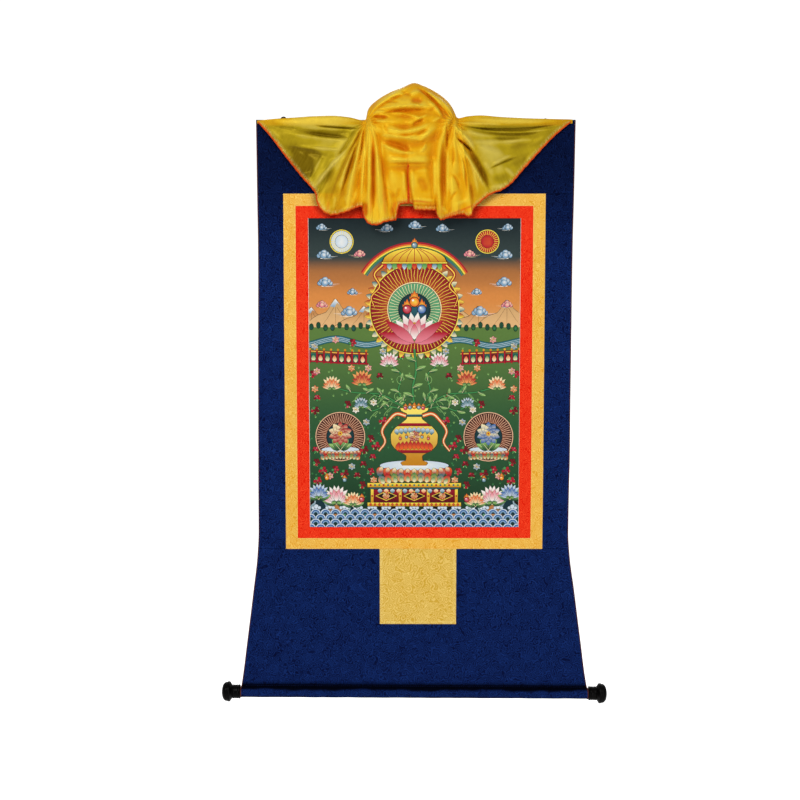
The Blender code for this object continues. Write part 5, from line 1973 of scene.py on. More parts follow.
    def halo(self, x: float, y: float, radius: float, middle: str, rim: str, ray: str, rays: int) -> None:
        """Paints a disc of light: a rim, a washed ground and fine straight and waved rays.

        Args:
            x, y: its middle.
            radius: without its rim.
            middle, rim: the ground's colours.
            ray: the rays' and the rim's colour.
            rays: how many.
        """
        self.disc(x, y, radius + 1.6, ray)
        self.disc(x, y, radius, INK)
        self.disc(x, y, radius - 0.9, middle, rim)
        for n in range(rays):
            share = np.linspace(0.34, 0.97, 3 if n % 2 else 7)
            at = tau * n / rays + (0.0 if n % 2 else 0.02) * np.sin(share * 22)
            path = np.stack([x + radius * share * np.sin(at), y + radius * share * np.cos(at)], 1)
            self.stroke(path[::-1], 1.0, ray, 0.55)

    def cloud(self, x: float, y: float, size: float, flip: int, pale: str = WHITE, deep: str = SKY) -> None:
        """Paints a curled cloud with a tail, its lobes lit from above.

        Args:
            x, y: its middle.
            size: half its width.
            flip: 1 or -1, the way its tail points.
            pale, deep: its colours.
        """
        for drop in range(3):
            tail = (
                (x - flip * size * 0.4, y - size * (0.10 + 0.13 * drop)),
                (x + flip * size * (0.6 - 0.2 * drop), y - size * (0.16 + 0.13 * drop)),
                (x + flip * size * (1.75 - 0.35 * drop), y - size * (0.10 + 0.15 * drop)),
            )
            self.stroke(self.curve(tail, 12), size * 0.10, pale if drop != 1 else deep, 0.9)
        lobes = (
            (-0.62, -0.05, 0.26), (0.66, -0.08, 0.24), (-0.36, 0.2, 0.30),
            (0.38, 0.16, 0.30), (0.02, 0.34, 0.36), (0.0, 0.0, 0.38),
        )
        turn = np.linspace(0.4, 5.2, 12)
        for dx, dy, r in lobes:
            cx, cy, radius = x + flip * dx * size, y + dy * size, r * size
            self.inked(cx, cy, radius, 0.7, deep, ink=DEEP_TEAL)
            self.disc(cx + 0.06 * size, cy + 0.07 * size, radius * 0.86, pale, deep)
            coil = radius * 0.52 * (1 - turn / 7.5)
            path = np.stack([cx + flip * coil * np.cos(turn), cy - coil * np.sin(turn)], 1)
            self.stroke(path, max(0.09 * radius, 0.6), deep, 0.4)

    def jewel(self, x: float, y: float, size: float, colour: str, deep: str) -> None:
        """Paints a flaming jewel.

        Args:
            x, y: its middle.
            size: its radius.
            colour, deep: its colours.
        """
        for turn, share in ((-34, 1.5), (34, 1.5), (-14, 1.9), (14, 1.9), (0, 2.3)):
            self.petal(x, y - size * 0.3, turn, size * share, size * 0.75, GOLD_LIGHT, ORANGE)
        self.disc(x, y, size * 0.92, INK)
        self.disc(x, y, size * 0.8, colour, deep)
        self.disc(x - size * 0.25, y + size * 0.28, size * 0.2, WHITE)

    def posy(self, x: float, y: float, size: float, turn: int) -> None:
        """Paints a bunch of round fruit among leaves.

        Args:
            x, y: its middle.
            size: of a fruit.
            turn: which of its forms it takes.
        """
        self.leaves(x, y, [turn * 24 + n * 60 for n in range(6)], size * 1.7)
        skins = ((ROSE, CRIMSON), (CRIMSON, MAROON), (PALE_LEAF, LEAF))
        spots = ((0, 0.2), (-0.95, -0.1), (0.95, -0.05), (-0.45, 0.95), (0.55, 0.95), (0.0, -0.85))
        for n, (dx, dy) in enumerate(spots):
            colours = skins[(n + turn) % 3 if n % 2 else turn % 2]
            self.inked(x + dx * size, y + dy * size, size * 0.52, 0.5, *colours)

    def lotus_seat(self, x: float, y: float, half: float, tall: float) -> None:
        """Paints a seat of two rows of lotus petals under a moon disc.

        Args:
            x, y: its middle.
            half: half its width.
            tall: its height.
        """
        self.disc(x, y + tall * 0.5, half * 1.02, INK, tall=0.16)
        self.disc(x, y + tall * 0.5, half, WHITE, PALE_SKY, tall=0.15)
        count = 11
        for row, (sign, inner, outer) in enumerate(((1, CRIMSON, ORANGE), (-1, LEAF, PALE_ORANGE))):
            way = 180 if sign > 0 else 0
            for n in sorted(range(count), key=lambda k: -abs(k - (count - 1) / 2)):
                share = 2 * n / (count - 1) - 1
                tip = (TEAL, CRIMSON, LEAF)[n % 3]
                px = x + share * half * (0.93 - 0.05 * row)
                py = y + (tall * 0.42 if way else -tall * 0.62) - 0.10 * tall * (1 - share * share) * sign
                self.petal(px, py, way - share * 26 * sign, tall * 0.62, half * 0.23, outer, tip)
                self.petal(px, py, way - share * 26 * sign, tall * 0.40, half * 0.12, CREAM, inner, tip)


@dataclass
class Design(Brush):
    """The picture on the canvas: a treasure vase of lotuses between clouds, hills and water.

    The design is the maker's own: flowers, jewels, clouds and water in a layout that only
    shares its colours and its scale with such pictures.
    """

    half: float = 201.7
    tall: float = 593.0
    hill_foot: float = 386.0
    grounds: tuple = (
        (520, 593, "18262a", "33403f"),
        (486, 520, "33403f", "b0703c"),
        (440, 486, "b0703c", "d98a44"),
        (372, 440, "d98a44", "e0a868"),
        (180, 392, "5c7c3c", "2c5634"),
        (-1, 180, "2c5634", "143220"),
    )
    peaks: tuple = (
        (-196, 50, 38), (-150, 62, 54), (-96, 58, 40), (-42, 50, 50),
        (20, 60, 44), (74, 52, 56), (122, 60, 40), (176, 62, 52),
    )
    ridge: tuple = ((-1, 0), (-0.55, 0.42), (-0.3, 0.52), (0, 1), (0.22, 0.66), (0.6, 0.36), (1, 0))
    snow: tuple = ((-0.17, -0.26), (0, 0), (0.14, -0.22), (0.05, -0.14), (-0.03, -0.30))
    river: tuple = (
        (-202, 352), (-150, 364), (-92, 352), (-40, 361), (20, 350), (86, 362), (150, 350), (202, 360),
    )
    clouds: tuple = (
        (172, 522, 15, 1), (104, 524, 12, -1), (52, 572, 13, -1), (176, 574, 11, 1),
        (170, 470, 16, 1), (118, 452, 11, 1), (124, 414, 17, -1), (176, 428, 12, 1),
    )
    bows: tuple = ((118, CRIMSON), (115, ORANGE), (112, GOLD_LIGHT), (109, LEAF), (106, TEAL))
    vase_up: tuple = (0, 6, 10, 18, 30, 44, 58, 72, 84, 92, 100, 106, 111)
    vase_half: tuple = (22, 26, 16, 15, 34, 44, 45, 37, 22, 14, 14, 25, 27)
    vase_bands: tuple = ((24, 30, CRIMSON, MAROON), (76, 82, CRIMSON, MAROON), (94, 99, TEAL, DEEP_TEAL))
    fruit: tuple = (
        (186, 250), (128, 238), (60, 206), (66, 292), (118, 356), (190, 226), (26, 330), (188, 126),
        (176, 110), (98, 122), (84, 108), (96, 150), (80, 136), (84, 172), (74, 158), (110, 100),
        (152, 112), (134, 104), (190, 150), (100, 82), (186, 90), (66, 254), (194, 296),
    )
    flowers: tuple = (
        (186, 302), (92, 204), (190, 268), (78, 242), (88, 308), (190, 350), (120, 308),
        (112, 228), (162, 100), (120, 118), (78, 92), (34, 350), (150, 362), (60, 340),
    )
    crag: tuple = (
        (-1, 0), (-0.8, 0.5), (-0.35, 0.72), (-0.1, 1), (0.3, 0.84), (0.5, 0.48), (0.86, 0.4), (1, 0),
    )
    rocks: tuple = (
        (184, 24, 62, TEAL), (152, 22, 44, OCHRE), (118, 24, 34, LEAF),
        (76, 26, 26, TEAL), (40, 20, 20, OCHRE),
    )
    shore_lotuses: tuple = (
        (150, 50, 30, WHITE, ROSE), (118, 46, 22, CREAM, ORANGE), (184, 60, 24, PALE_SKY, BLUE),
    )
    shore_jewels: tuple = (
        (101, 54, 6, ROSE, CRIMSON), (134, 92, 5, PALE_SKY, TEAL), (168, 96, 5, GOLD_LIGHT, ORANGE),
    )
    scales: tuple = ((10.6, INK), (10.0, PALE_SKY), (8.0, "2c5c9c"), (5.8, SKY), (3.6, DEEP_TEAL))

    def hills(self) -> None:
        """Paints the snowy hills and the row of trees before them."""
        foot = self.hill_foot
        for n, (x, half, tall) in enumerate(self.peaks):
            line = self.curve(np.array(self.ridge) * (half, tall) + (x, foot), 20)
            self.fill(line + (0, 0.8), INK)
            self.fill(line, "caa06a" if n % 2 else TAN, "e2b47c")
            top = foot + tall
            self.fill(np.array(self.snow) * (half, tall) + (x, top), WHITE, SKY)
            for k in (-1, 0, 1):
                away = x + k * 3, x + k * half * 0.26, x + k * half * 0.42
                rib = list(zip(away, (top - tall * 0.3, foot + tall * 0.3, foot + 3)))
                self.stroke(rib, 0.8, "8a5c34", 0.6)
        for n, x in enumerate(np.arange(-196, 200, 13.4)):
            if abs(x) > 46:
                self.disc(x, 387 + 3 * sin(n * 1.9), 4.6, INK, tall=1.45)
                self.disc(x, 387 + 3 * sin(n * 1.9), 4.0, LEAF if n % 3 else TEAL, DEEP_LEAF, tall=1.45)

    def ground(self) -> None:
        """Paints the dark sky, the sunset, the hills, the river and the meadow."""
        for low, high, *colours in self.grounds:
            self.box(-self.half, low, self.half, high, *colours)
        self.hills()
        river = self.curve(self.river, 50)
        self.strokes(river, (13, DEEP_TEAL), (11.4, TEAL))
        for shift in (-3, 0, 3):
            self.stroke(river + (0, shift), 0.8, PALE_SKY)
        draw = np.random.default_rng(5)
        for _ in range(210):
            x, y = draw.uniform(-197, 197), draw.uniform(44, 346)
            for lean in (-2.4, 0, 2.4):
                blade = ((x - 0.6, y), (x + 0.6, y), (x + lean, y + 5 - abs(lean) / 2))
                self.fill(blade, PALE_LEAF if y > 200 else LEAF)

    def heaven(self) -> None:
        """Paints the sun, the moon, rainbow bows and clouds in the dark sky."""
        for x, *colours in ((-138, WHITE, PALE_SKY), (138, ORANGE, CRIMSON)):
            self.halo(x, 548, 21, *colours, GOLD_LIGHT, 28)
            self.inked(x, 548, 12, 0.6, *colours)
        turn = np.linspace(-1.02, 1.02, 44)
        for radius, colour in self.bows:
            self.stroke(np.stack([radius * np.sin(turn), 428 + radius * np.cos(turn)], 1), 2.6, colour)
        for x, y, size, flip in self.clouds:
            for side in BOTH:
                self.cloud(side * x, y, size, -side * flip, *((CREAM, ROSE) if size == 12 else (WHITE, SKY)))
        self.cloud(0, 578, 13, 1)

    def parasol(self) -> None:
        """Paints the gold parasol over the great lotus, with its frill and its streamers."""
        rib = np.linspace(-1, 1, 25)
        for k, *colours in ((1.03, INK), (1.0, GOLD_LIGHT, GOLD_DEEP)):
            self.fill(paired(rib * 62 * k, 506 + 30 * k * np.sqrt(np.maximum(1 - rib**2, 0))), *colours)
        for share in np.linspace(-0.8, 0.8, 7):
            rib = (share * 60, 507), (share * 44, 522), (share * 12, 535)
            self.stroke(self.curve(rib, 8), 1.2, CRIMSON)
        frill = ((CRIMSON, ORANGE), (TEAL, PALE_SKY), (LEAF, PALE_LEAF))
        for n in range(13):
            self.petal(-57 + n * 9.5, 508, 180, 13, 9.4, *frill[n % 3])
        for half, wide, colour in ((63, 3.4, INK), (62, 2.2, GOLD_LIGHT)):
            self.stroke([(-half, 508), (0, 508), (half, 508)], wide, colour)
        self.jewel(0, 541, 7, PALE_SKY, TEAL)
        for flip in BOTH:
            streamer = np.array([(60, 504), (76, 486), (66, 464), (82, 442), (76, 424)]) * (flip, 1)
            self.strokes(self.curve(streamer, 26), (7.4, INK), (6.2, CRIMSON), (2.2, GOLD_LIGHT), taper=0.55)

    def altar(self) -> None:
        """Paints the low red table with gold mouldings under the vase."""
        for half, low, high, *colours in (
            (82, 47, 82, DEEP_RED, "5c0c18"),
            (90, 78, 86, GOLD_LIGHT, GOLD_DEEP),
            (90, 41, 48, GOLD_LIGHT, GOLD_DEEP),
            (86, 74, 77, TEAL, DEEP_TEAL),
        ):
            self.box(-half - 0.8, low - 0.8, half + 0.8, high + 0.8, INK)
            self.box(-half, low, half, high, *colours)
        for n in range(21):
            self.disc(-84 + 8.4 * n, 82, 2.1, (CRIMSON, TEAL, LEAF)[n % 3])
            self.petal(-84 + 8.4 * n, 42, 0, 5.4, 4.4, CRIMSON, ORANGE)
        for x in (-54, 0, 54):
            for half, tall, colour in ((21, 9.6, GOLD_LIGHT), (19, 8.2, "2a1410")):
                self.fill([(x - half, 61), (x, 61 - tall), (x + half, 61), (x, 61 + tall)], colour)
            self.rosette(x, 61, 7.6, CREAM, ORANGE, 8)
        for x in (-81, -27, 27, 81):
            self.box(x - 2.6, 48, x + 2.6, 74, GOLD_LIGHT, GOLD_DEEP)
            self.disc(x, 61, 2, CRIMSON)
        for n in range(12):
            self.petal(-66 + 12 * n, 75, 180, 9, 9, *((CREAM, ORANGE) if n % 2 else (PALE_SKY, TEAL)))

    def vase_part(self, up: Array, grow: float, *colours: str) -> None:
        """Paints the part of the vase's body at the given heights over its foot.

        Args:
            up: the heights.
            grow: how far its sides stand out.
            colours: at its top and its foot.
        """
        half = read_between(self.vase_up, self.vase_half, up)
        right = np.stack([half + grow, 120 + up], 1)
        self.fill(np.concatenate([right, (right * (-1, 1))[::-1]]), *colours)

    def vase(self) -> None:
        """Paints the treasure vase on its lotus seat."""
        self.altar()
        self.lotus_seat(0, 104, 66, 32)
        self.vase_part(np.linspace(0, 111, 46), 1.1, INK)
        self.vase_part(np.linspace(0, 111, 46), 0.0, "fbe268", "c4801c")
        for low, high, *colours in self.vase_bands:
            self.vase_part(np.linspace(low, high, 5), 0.0, *colours)
        for share in [(n - 4) / 4 for n in range(9)]:
            self.petal(share * 33, 151 - 2 * share * share, -share * 14, 17, 9, ORANGE, CRIMSON)
            self.petal(share * 35, 194 - 3 * share * share, 180 + share * 14, 12, 8.6, PALE_SKY, TEAL)
        self.rosette(0, 176, 12, CREAM, CRIMSON)
        for flip in BOTH:
            self.jewel(flip * 15, 175, 3.4, PALE_SKY, TEAL)
            self.jewel(flip * 27, 172, 3.4, ROSE, CRIMSON)
            sash = np.array([(16, 216), (34, 220), (50, 206), (62, 186), (56, 166), (68, 148)]) * (flip, 1)
            self.strokes(self.curve(sash, 28), (8.4, INK), (7.0, ORANGE), (2.4, CREAM), taper=0.5)
        ends = (ROSE, CRIMSON), (PALE_SKY, TEAL)
        for x, colours in zip((-17, -8.5, 0, 8.5, 17), (*ends, (GOLD_LIGHT, ORANGE), *ends[::-1])):
            self.jewel(x, 233 - abs(x) * 0.12, 4.6, *colours)

    def stems(self) -> None:
        """Paints the lotus stems that rise from the vase, their leaves and their flowers."""
        stems = (
            (((12, 232), (30, 262), (26, 296), (48, 316)), (48, 314, 23), (WHITE, ROSE)),
            (((16, 230), (52, 248), (80, 258), (100, 280)), (100, 278, 25), (PALE_ORANGE, CRIMSON)),
            (((18, 228), (56, 234), (84, 226), (100, 236)), (102, 234, 17), (PALE_SKY, TEAL)),
            (((16, 230), (60, 256), (120, 262), (156, 272)), (158, 270, 22), (CREAM, ORANGE)),
        )
        for flip in BOTH:
            for n, (path, (x, y, size), colours) in enumerate(stems):
                line = self.curve(np.array(path) * (flip, 1), 26)
                self.strokes(line, (3.6, INK), (2.4, LEAF))
                for k in range(4, 22, 5):
                    self.leaf(*line[k], flip * (75 if (k // 5) % 2 else -15) + 14 * n, 17)
                turn = np.linspace(0, 7.4, 20)
                coil = 9.5 * (1 - turn / 9.4)
                for k in (9, 17):
                    curl = paired(flip * (coil * np.sin(turn + 0.6 * n)), -8 - coil * np.cos(turn)) + line[k]
                    self.strokes(curl, (1.9, DEEP_LEAF), (1.0, PALE_LEAF), taper=0.5)
                self.lotus(flip * x, y, size, *colours)
        line = self.curve([(0, 236), (-3, 270), (3, 300), (0, 344)], 20)
        self.strokes(line, (5.0, INK), (3.6, LEAF))
        for n, k in enumerate(range(3, 17, 3)):
            self.leaf(*line[k], 68 if n % 2 else -68, 21)

    def great_lotus(self) -> None:
        """Paints the great lotus that bears three jewels, before its rayed disc."""
        for n in range(44):
            a = tau * n / 44
            colours = (TEAL, CREAM) if n % 2 else (CRIMSON, GOLD_LIGHT)
            self.petal(80 * sin(a), 420 + 80 * cos(a), 360 * n / 44, 16, 10, *colours)
        self.halo(0, 420, 84, "e87838", "8c1c24", GOLD_LIGHT, 72)
        self.halo(0, 420, 50, DEEP_LEAF, "5fa070", CREAM, 48)
        self.inked(0, 420, 30, 1, "2a5a66", DEEP_TEAL)
        self.lotus(0, 362, 50, WHITE, "d8506a")
        self.petals(0, 356, (-74, 74, -52, 52), 70, 19, ROSE, CRIMSON)
        self.jewel(-14, 420, 10, ROSE, CRIMSON)
        self.jewel(14, 420, 10, PALE_SKY, "2c62a4")
        self.jewel(0, 434, 11, GOLD_LIGHT, ORANGE)

    def railing(self, flip: int) -> None:
        """Paints the railing on one side.

        Args:
            flip: -1 left or 1 right.
        """
        for n in range(9):
            x, low = 92 + 13.4 * n, 316 + 0.45 * n
            block = np.array([(0, 0), (13.4, 0), (13.4, 17), (0, 17)]) + (x, low)
            self.fill(block * (flip, 1), "1f5f58" if n % 2 else MAROON, DEEP_TEAL)
            self.petal(flip * (x + 6.7), low + 2, 0, 13, 8, CREAM, LEAF if n % 2 else ORANGE)
        rails = (316, (3.6, INK), (2.6, CRIMSON)), (335, (4.6, INK), (3.6, CRIMSON), (1.2, GOLD_LIGHT))
        for low, *layers in rails:
            self.strokes([(flip * 88, low), (flip * 145, low + 2), (flip * 202, low + 6)], *layers)
        for n in range(9):
            x, low = flip * (92 + 13.4 * n), 314 + 0.45 * n
            self.strokes([(x, low), (x, low + 12), (x, low + 26)], (3.6, INK), (2.4, CRIMSON))
            self.disc(x, low + 27, 2.4, GOLD_LIGHT, GOLD_DEEP)

    def meadow(self) -> None:
        """Paints the railings, the two small discs of light, the fruit and the flowers."""
        for flip, tip in zip(BOTH, (CRIMSON, BLUE)):
            self.railing(flip)
            x = flip * 142
            self.halo(x, 176, 46, "b05a38", "4c2a22", "ecb894", 60)
            self.inked(x, 176, 26, 1, "2c6a50", DEEP_TEAL)
            self.lotus_seat(x, 142, 36, 18)
            self.leaves(x, 150, (-62, 62, -38, 38), 26)
            self.rosette(x, 182, 23, CREAM, tip, 10)
        for n, (x, y) in enumerate(self.fruit):
            for flip in BOTH:
                self.posy(flip * x, y, 4.4 + 0.6 * (n % 3), n)
        for n, (x, y) in enumerate(self.flowers):
            for flip in BOTH:
                self.rosette(flip * x, y, 7.4, CREAM, (ROSE, SKY, ORANGE, WHITE)[n % 4], 6)

    def shore(self) -> None:
        """Paints the rocks that stand in the water."""
        for flip in BOTH:
            for n, (x, half, tall, colour) in enumerate(self.rocks):
                light = colour if n % 2 else PALE_SKY
                heart = TAN if n % 2 else DEEP_TEAL
                for k, colours in enumerate(((INK,), (light, colour), (heart, heart))):
                    size = half - 4.5 * k + (0.8 if k == 0 else 0), tall - 6.5 * k + (0.8 if k == 0 else 0)
                    outline = (np.array(self.crag) * size + (x, 20)) * (flip, 1)
                    self.fill(self.curve(outline, 20), *colours)

    def water(self) -> None:
        """Paints the rocks, the scaled waves along the foot, and their foam, flowers and jewels."""
        self.shore()
        turn = np.linspace(0, pi, 13)
        for row in range(4):
            for n in range(-11, 12):
                x, y = n * 19 + (9.5 if row % 2 else 0), 26 - row * 9.5
                for radius, colour in self.scales if abs(x) < 212 else ():
                    across = np.clip(x + radius * np.cos(turn), -self.half, self.half)
                    self.fill(np.stack([across, np.maximum(y + radius * np.sin(turn), -1)], 1), colour)
        for n in range(-7, 8):
            for dx, y, radius in ((-6, 38, 3.2), (0, 40.4, 4.4), (6, 38, 3.2)):
                self.inked(n * 27 + dx, y, radius, 0.5, WHITE, PALE_SKY, ink=DEEP_TEAL)
        for x, y, size, *colours in self.shore_lotuses:
            for flip in BOTH:
                self.leaves(flip * x, y - 6, (-70, 70, -40, 40), size * 1.05)
                self.lotus(flip * x, y, size, *colours)
        for x, y, size, *colours in self.shore_jewels:
            for flip in BOTH:
                self.jewel(flip * x, y, size, *colours)

    def draw(self) -> list[tuple]:
        """Paints the whole picture and hands back its shapes."""
        self.ground()
        self.heaven()
        self.meadow()
        self.great_lotus()
        self.parasol()
        self.stems()
        self.water()
        self.vase()
        for x in (-201.9, 200.7):
            self.box(x, -1, x + 1.3, self.tall, WHITE)
        return self.shapes


@dataclass
class Painting:
    """The painted canvas: its design cut into triangles, one colour over another."""

    cell: float = 10.0
    back_cell: float = 14.0
    thick: float = 1.0 * MM
    behind: float = 0.75 * MM

    def colours(self, shapes: list[tuple], corners: Array, top: Array) -> Array:
        """The colour of each corner of each triangle, from the shape that lies on top.

        Args:
            shapes: what the brush collected.
            corners: the triangles' corners, in mm.
            top: the number of the topmost shape on each triangle.

        Returns:
            Linear red, green, blue and 1 for each corner.
        """
        low = np.array([shape[0].min(0) for shape in shapes])
        high = np.array([shape[0].max(0) for shape in shapes])
        first, second = (np.array([shape[n] for shape in shapes]) for n in (1, 2))
        down = np.array([shape[3] is Wash.DOWN for shape in shapes])
        flat = np.array([shape[3] is Wash.FLAT for shape in shapes])
        size = np.maximum(high - low, 1e-6)
        place = (corners - low[top][:, None]) / size[top][:, None]
        share = np.where(down[top][:, None], 1 - place[..., 1], np.linalg.norm(place - 0.5, axis=-1) * 2)
        share = smooth(np.where(flat[top][:, None], 0.0, share))[..., None]
        mixed = first[top][:, None] * (1 - share) + second[top][:, None] * share
        return np.concatenate([mixed, np.ones_like(mixed[..., :1])], -1)

    def topmost(self, shapes: list[tuple], places: Array) -> Array:
        """Finds what lies on top, with the shapes tried from the last to the first.

        Args:
            shapes: what the brush collected.
            places: where to look, in mm.

        Returns:
            The number of the last shape that covers each place.
        """
        order = np.argsort(places[:, 0])
        x, y = places[order, 0], places[order, 1]
        top = np.zeros(len(places), int)
        free = np.ones(len(places), bool)
        for number in range(len(shapes) - 1, 0, -1):
            outline = shapes[number][0]
            (x0, y0), (x1, y1) = outline.min(0), outline.max(0)
            first, last = np.searchsorted(x, (x0, x1))
            near = first + np.flatnonzero(free[first:last] & (y[first:last] > y0) & (y[first:last] < y1))
            if len(near):
                ahead = np.roll(outline, -1, 0)
                px, py = x[near, None], y[near, None]
                rise = (outline[:, 1] <= py).astype(int) - (ahead[:, 1] <= py)
                run = ahead - outline
                side = run[:, 0] * (py - outline[:, 1]) - (px - outline[:, 0]) * run[:, 1]
                inside = np.sum(rise * (side * rise > 0), axis=1) != 0
                top[near[inside]] = number
                free[near[inside]] = False
        found = np.empty_like(top)
        found[order] = top
        return found

    def triangles(self, points: Array, edges: Array) -> tuple[Array, Array]:
        """Fills the canvas with triangles that keep to the edges given.

        Args:
            points: where corners have to be.
            edges: pairs of their numbers.

        Returns:
            The points and the triangles, all facing the same way.
        """
        verts, _, faces, *_ = delaunay_2d_cdt(points.tolist(), edges.tolist(), [], 0, 1e-4, False)
        verts, faces = np.array([tuple(v) for v in verts]), np.array([tuple(face) for face in faces])
        first, second = (verts[faces[:, n]] - verts[faces[:, 0]] for n in (1, 2))
        turn = first[:, 0] * second[:, 1] - first[:, 1] * second[:, 0]
        faces[turn < 0] = faces[turn < 0][:, ::-1]
        return verts, faces[np.abs(turn) > 1e-6]

    def partition(self, shapes: list[tuple], half: float, tall: float) -> tuple[Array, Array, Array]:
        """Cuts the canvas along every visible edge between two colours.

        Args:
            shapes: what the brush collected, the lowest first.
            half: half the canvas's width, in mm.
            tall: its height.

        Returns:
            The points, the triangles and the number of the topmost shape on each triangle.
        """
        lengths = [len(shape[0]) for shape in shapes]
        points = np.concatenate([shape[0] for shape in shapes])
        points = np.stack([points[:, 0].clip(-half, half), points[:, 1].clip(0.0, tall)], 1)
        starts = np.cumsum([0] + lengths[:-1])
        ends = np.arange(len(points)) + 1
        ends[starts + lengths - 1] = starts
        edges = np.stack([np.arange(len(points)), ends], 1)
        edges = edges[np.linalg.norm(points[edges[:, 0]] - points[edges[:, 1]], axis=1) > 1e-3]
        verts, faces = self.triangles(points, edges)
        top = self.topmost(shapes, verts[faces].mean(1))
        sides = np.sort(faces[:, [0, 1, 1, 2, 2, 0]].reshape(-1, 2), axis=1)
        owner = np.repeat(top, 3)
        order = np.lexsort((sides[:, 1], sides[:, 0]))
        sides, owner = sides[order], owner[order]
        same = np.zeros(len(sides), bool)
        same[1:] = np.all(sides[1:] == sides[:-1], axis=1) & (owner[1:] == owner[:-1])
        same[:-1] |= same[1:]
        kept, edges = np.unique(np.unique(sides[~same], axis=0), return_inverse=True)
        across, up = np.arange(4 - half, half, self.cell), np.arange(3.5, tall, self.cell)
        grid = np.stack(np.meshgrid(across, up), -1)
        points = np.concatenate([verts[kept], grid.reshape(-1, 2)])
        verts, faces = self.triangles(points, edges.reshape(-1, 2))
        return verts, faces, self.topmost(shapes, verts[faces].mean(1))

    def rim(self, verts: Array, half: float, tall: float) -> Array:
        """The numbers of the points on the canvas's four edges, counted round it.

        Args:
            verts: the canvas's points.
            half: half its width.
            tall: its height.

        Returns:
            The numbers, in order.
        """
        x, y = verts[:, 0], verts[:, 1]
        near = 1e-4
        sides = ((y < near, x), (x > half - near, y), (y > tall - near, -x), (x < near - half, -y))
        found: list[int] = []
        for chosen, key in sides:
            numbers = np.flatnonzero(chosen)
            found.extend(number for number in numbers[np.argsort(key[numbers])] if number not in found[-2:])
        return np.array(found[:-1] if found[0] == found[-1] else found)

    def make(self) -> Piece:
        """Stretches the painted canvas in its red border."""
        shapes = Design().draw()
        middle = (PICTURE.left + PICTURE.right) / 2
        half = (PICTURE.right - PICTURE.left) / 2 / MM - SEAM / MM
        foot, tall = PICTURE.bottom + SEAM, (PICTURE.top - PICTURE.bottom - 2 * SEAM) / MM
        ground = np.array([(-half, 0.0), (half, 0.0), (half, tall), (-half, tall)])
        shapes.insert(0, (ground, from_hex(CREAM), from_hex(CREAM), Wash.FLAT))
        verts, faces, top = self.partition(shapes, half, tall)
        rim = self.rim(verts, half, tall)
        across, up = np.arange(10 - half, half - 5, self.back_cell), np.arange(8, tall - 5, self.back_cell)
        grid = np.stack(np.meshgrid(across, up), -1)
        ring = np.stack([np.arange(len(rim)), np.roll(np.arange(len(rim)), -1)], 1)
        behind, back = self.triangles(np.concatenate([verts[rim], grid.reshape(-1, 2)]), ring)
        shift = len(verts)
        wall = np.stack([rim, ring[:, 0] + shift, ring[:, 1] + shift, rim[ring[:, 1]]], 1)
        flat = np.concatenate([verts, behind])
        x, z = middle + flat[:, 0] * MM, foot + flat[:, 1] * MM
        away = np.min([x - PICTURE.left, PICTURE.right - x, z - foot, PICTURE.top - z], 0)
        slack = 0.25 * MM * np.sin(x * 41 + 1) * np.sin(z * 33) * smooth(away / 0.04)
        slack[:shift] += self.thick
        polygons = faces.tolist() + (back[:, ::-1] + shift).tolist() + wall.tolist()
        points = HUNG.surface(x, z, slack - self.behind)
        piece = new_piece("painted_canvas", points, polygons, np.stack([x, z], 1))
        paint = piece.data.color_attributes.new("Paint", "FLOAT_COLOR", "CORNER")
        colours = np.ones((len(piece.data.loops), 4), np.float32)
        colours[: faces.size] = self.colours(shapes, verts[faces], top).reshape(-1, 4)
        paint.data.foreach_set("color", colours.ravel())
        for finish in (MineralPaint(), PlainCotton()):
            piece.data.materials.append(finish.material())
        unpainted = np.arange(len(polygons)) >= len(faces)
        piece.data.polygons.foreach_set("material_index", unpainted.astype(np.int32))
        only(piece)
        bpy.ops.object.shade_smooth_by_angle(angle=CRISP)
        settle(piece, "painted_canvas", "painting")
        return piece


# ---------------------------------------------------------------- wood, camera, stage


def dress_battens() -> None:
    """Gives the slat and the dowel, whose CAD shapes are right, their wood."""
    wood = BattenWood().material()
    for node in ("top_slat", "roller_dowel"):
        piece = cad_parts[node]
        piece.data.materials.clear()
        piece.data.materials.append(wood)


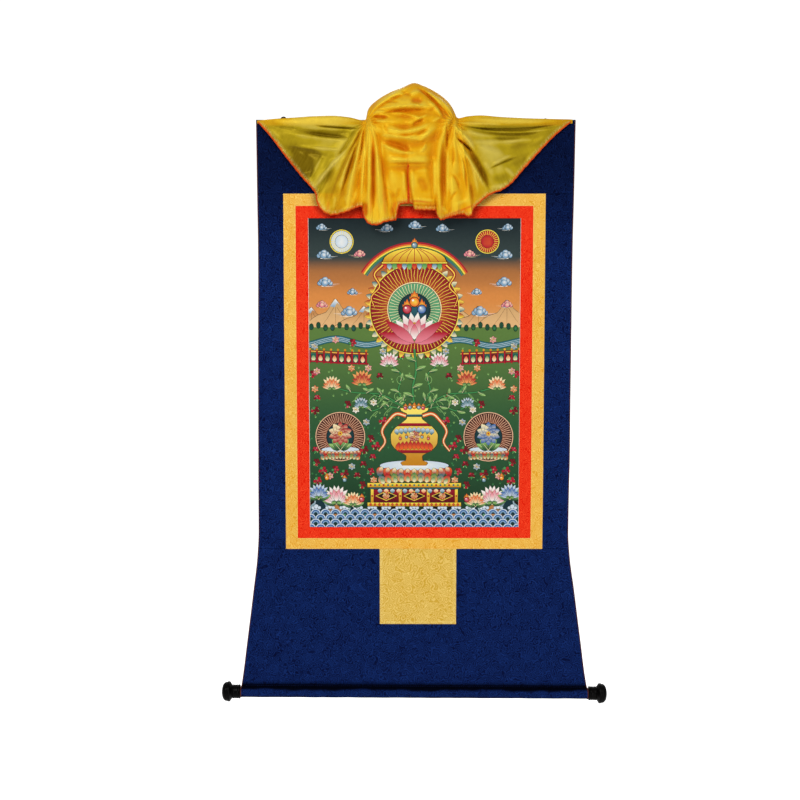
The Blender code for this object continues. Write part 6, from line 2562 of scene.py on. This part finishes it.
@dataclass
class Studio:
    """The camera, the lamps and the plain pale floor."""

    place: tuple[float, float, float] = (-0.0278, -2.7077, -0.2590)
    pitch: float = 84.3
    lens: float = 63.86
    ambience: tuple[float, float] = (0.36, 1.1)
    floor_z: float = -1.9
    middle: tuple[float, float, float] = (0.0, 0.0, -0.45)
    lamps: tuple[tuple, ...] = (
        ("key_lamp", (-1.3, -2.3, 1.2), 1.3, 46.0),
        ("fill_lamp", (1.6, -2.2, -0.9), 1.6, 18.0),
        ("back_lamp", (0.4, 2.6, 1.2), 1.6, 30.0),
    )

    def make_camera(self) -> None:
        """A level camera in front of the scroll, looking slightly down."""
        camera = bpy.data.cameras.new("camera")
        camera.lens, camera.sensor_width, camera.sensor_fit = self.lens, 36.0, "HORIZONTAL"
        camera.clip_end = 100.0
        stand = bpy.data.objects.new("camera", camera)
        stand.location = self.place
        stand.rotation_euler = (radians(self.pitch), 0.0, 0.0)
        bpy.context.scene.collection.objects.link(stand)
        bpy.context.scene.camera = stand

    def lamp(self, name: str, place: Sequence[float], size: float, energy: float) -> None:
        """A soft square lamp that faces the scroll's middle.

        Args:
            name: the lamp's name.
            place: where it stands.
            size: the length of its sides.
            energy: its power in watts.
        """
        light = bpy.data.lights.new(name, "AREA")
        light.size, light.energy = size, energy
        lamp = bpy.data.objects.new(name, light)
        lamp.location = place
        aim = Vector(self.middle) - lamp.location
        lamp.rotation_euler = aim.to_track_quat("-Z", "Y").to_euler()
        bpy.context.scene.collection.objects.link(lamp)

    def make_floor(self) -> None:
        """A wide flat pale floor."""
        bpy.ops.object.select_all(action="DESELECT")
        cells = {"x_subdivisions": 8, "y_subdivisions": 8}
        bpy.ops.mesh.primitive_grid_add(**cells, size=60, location=(0, 0, self.floor_z))
        floor = bpy.context.object
        floor.name = "studio_floor"
        bpy.ops.object.transform_apply(location=True, rotation=True, scale=True)
        n = Nodes("studio_floor", roughness=0.9, emission_color="ffffff")
        seen = n.add("LightPath", out="Is Camera Ray")
        n.feed(n.shader.inputs["Emission Strength"], n.line(seen, 0.8, 0.15))
        floor.data.materials.append(n.dress((0.93,) * 3))

    def light_world(self) -> None:
        """An even white surround, dimmer on the scroll than it looks."""
        world = bpy.data.worlds.new("studio_white")
        bpy.context.scene.world = world
        world.use_nodes = True
        tree = world.node_tree
        back = tree.nodes["Background"]
        back.inputs["Color"].default_value = (1, 1, 1, 1)
        path = tree.nodes.new("ShaderNodeLightPath")
        level = tree.nodes.new("ShaderNodeMapRange")
        level.inputs["To Min"].default_value, level.inputs["To Max"].default_value = self.ambience
        tree.links.new(path.outputs["Is Camera Ray"], level.inputs["Value"])
        tree.links.new(level.outputs["Result"], back.inputs["Strength"])

    def make(self) -> None:
        """Sets up the studio."""
        bpy.context.scene.view_settings.view_transform = "Standard"
        self.make_camera()
        self.make_floor()
        self.light_world()
        for row in self.lamps:
            self.lamp(*row)


def main() -> None:
    """Builds every piece in order and reports each."""
    logging.basicConfig(level=logging.INFO, format="%(message)s")
    Studio().make()
    dress_battens()
    NavyPanels().make()
    Border("gold", GOLD_OUTER, RED_OUTER, GOLD, "gold_brocade").make()
    Border("red", RED_OUTER, PICTURE, RED, "red_brocade").make()
    DoorPatch().make()
    Painting().make()
    EdgePiping().make()
    HangingLoops().make()
    for side in (-1, 1):
        Knob(side).make()
    Veil().make()


if __name__ == "__main__":
    main()
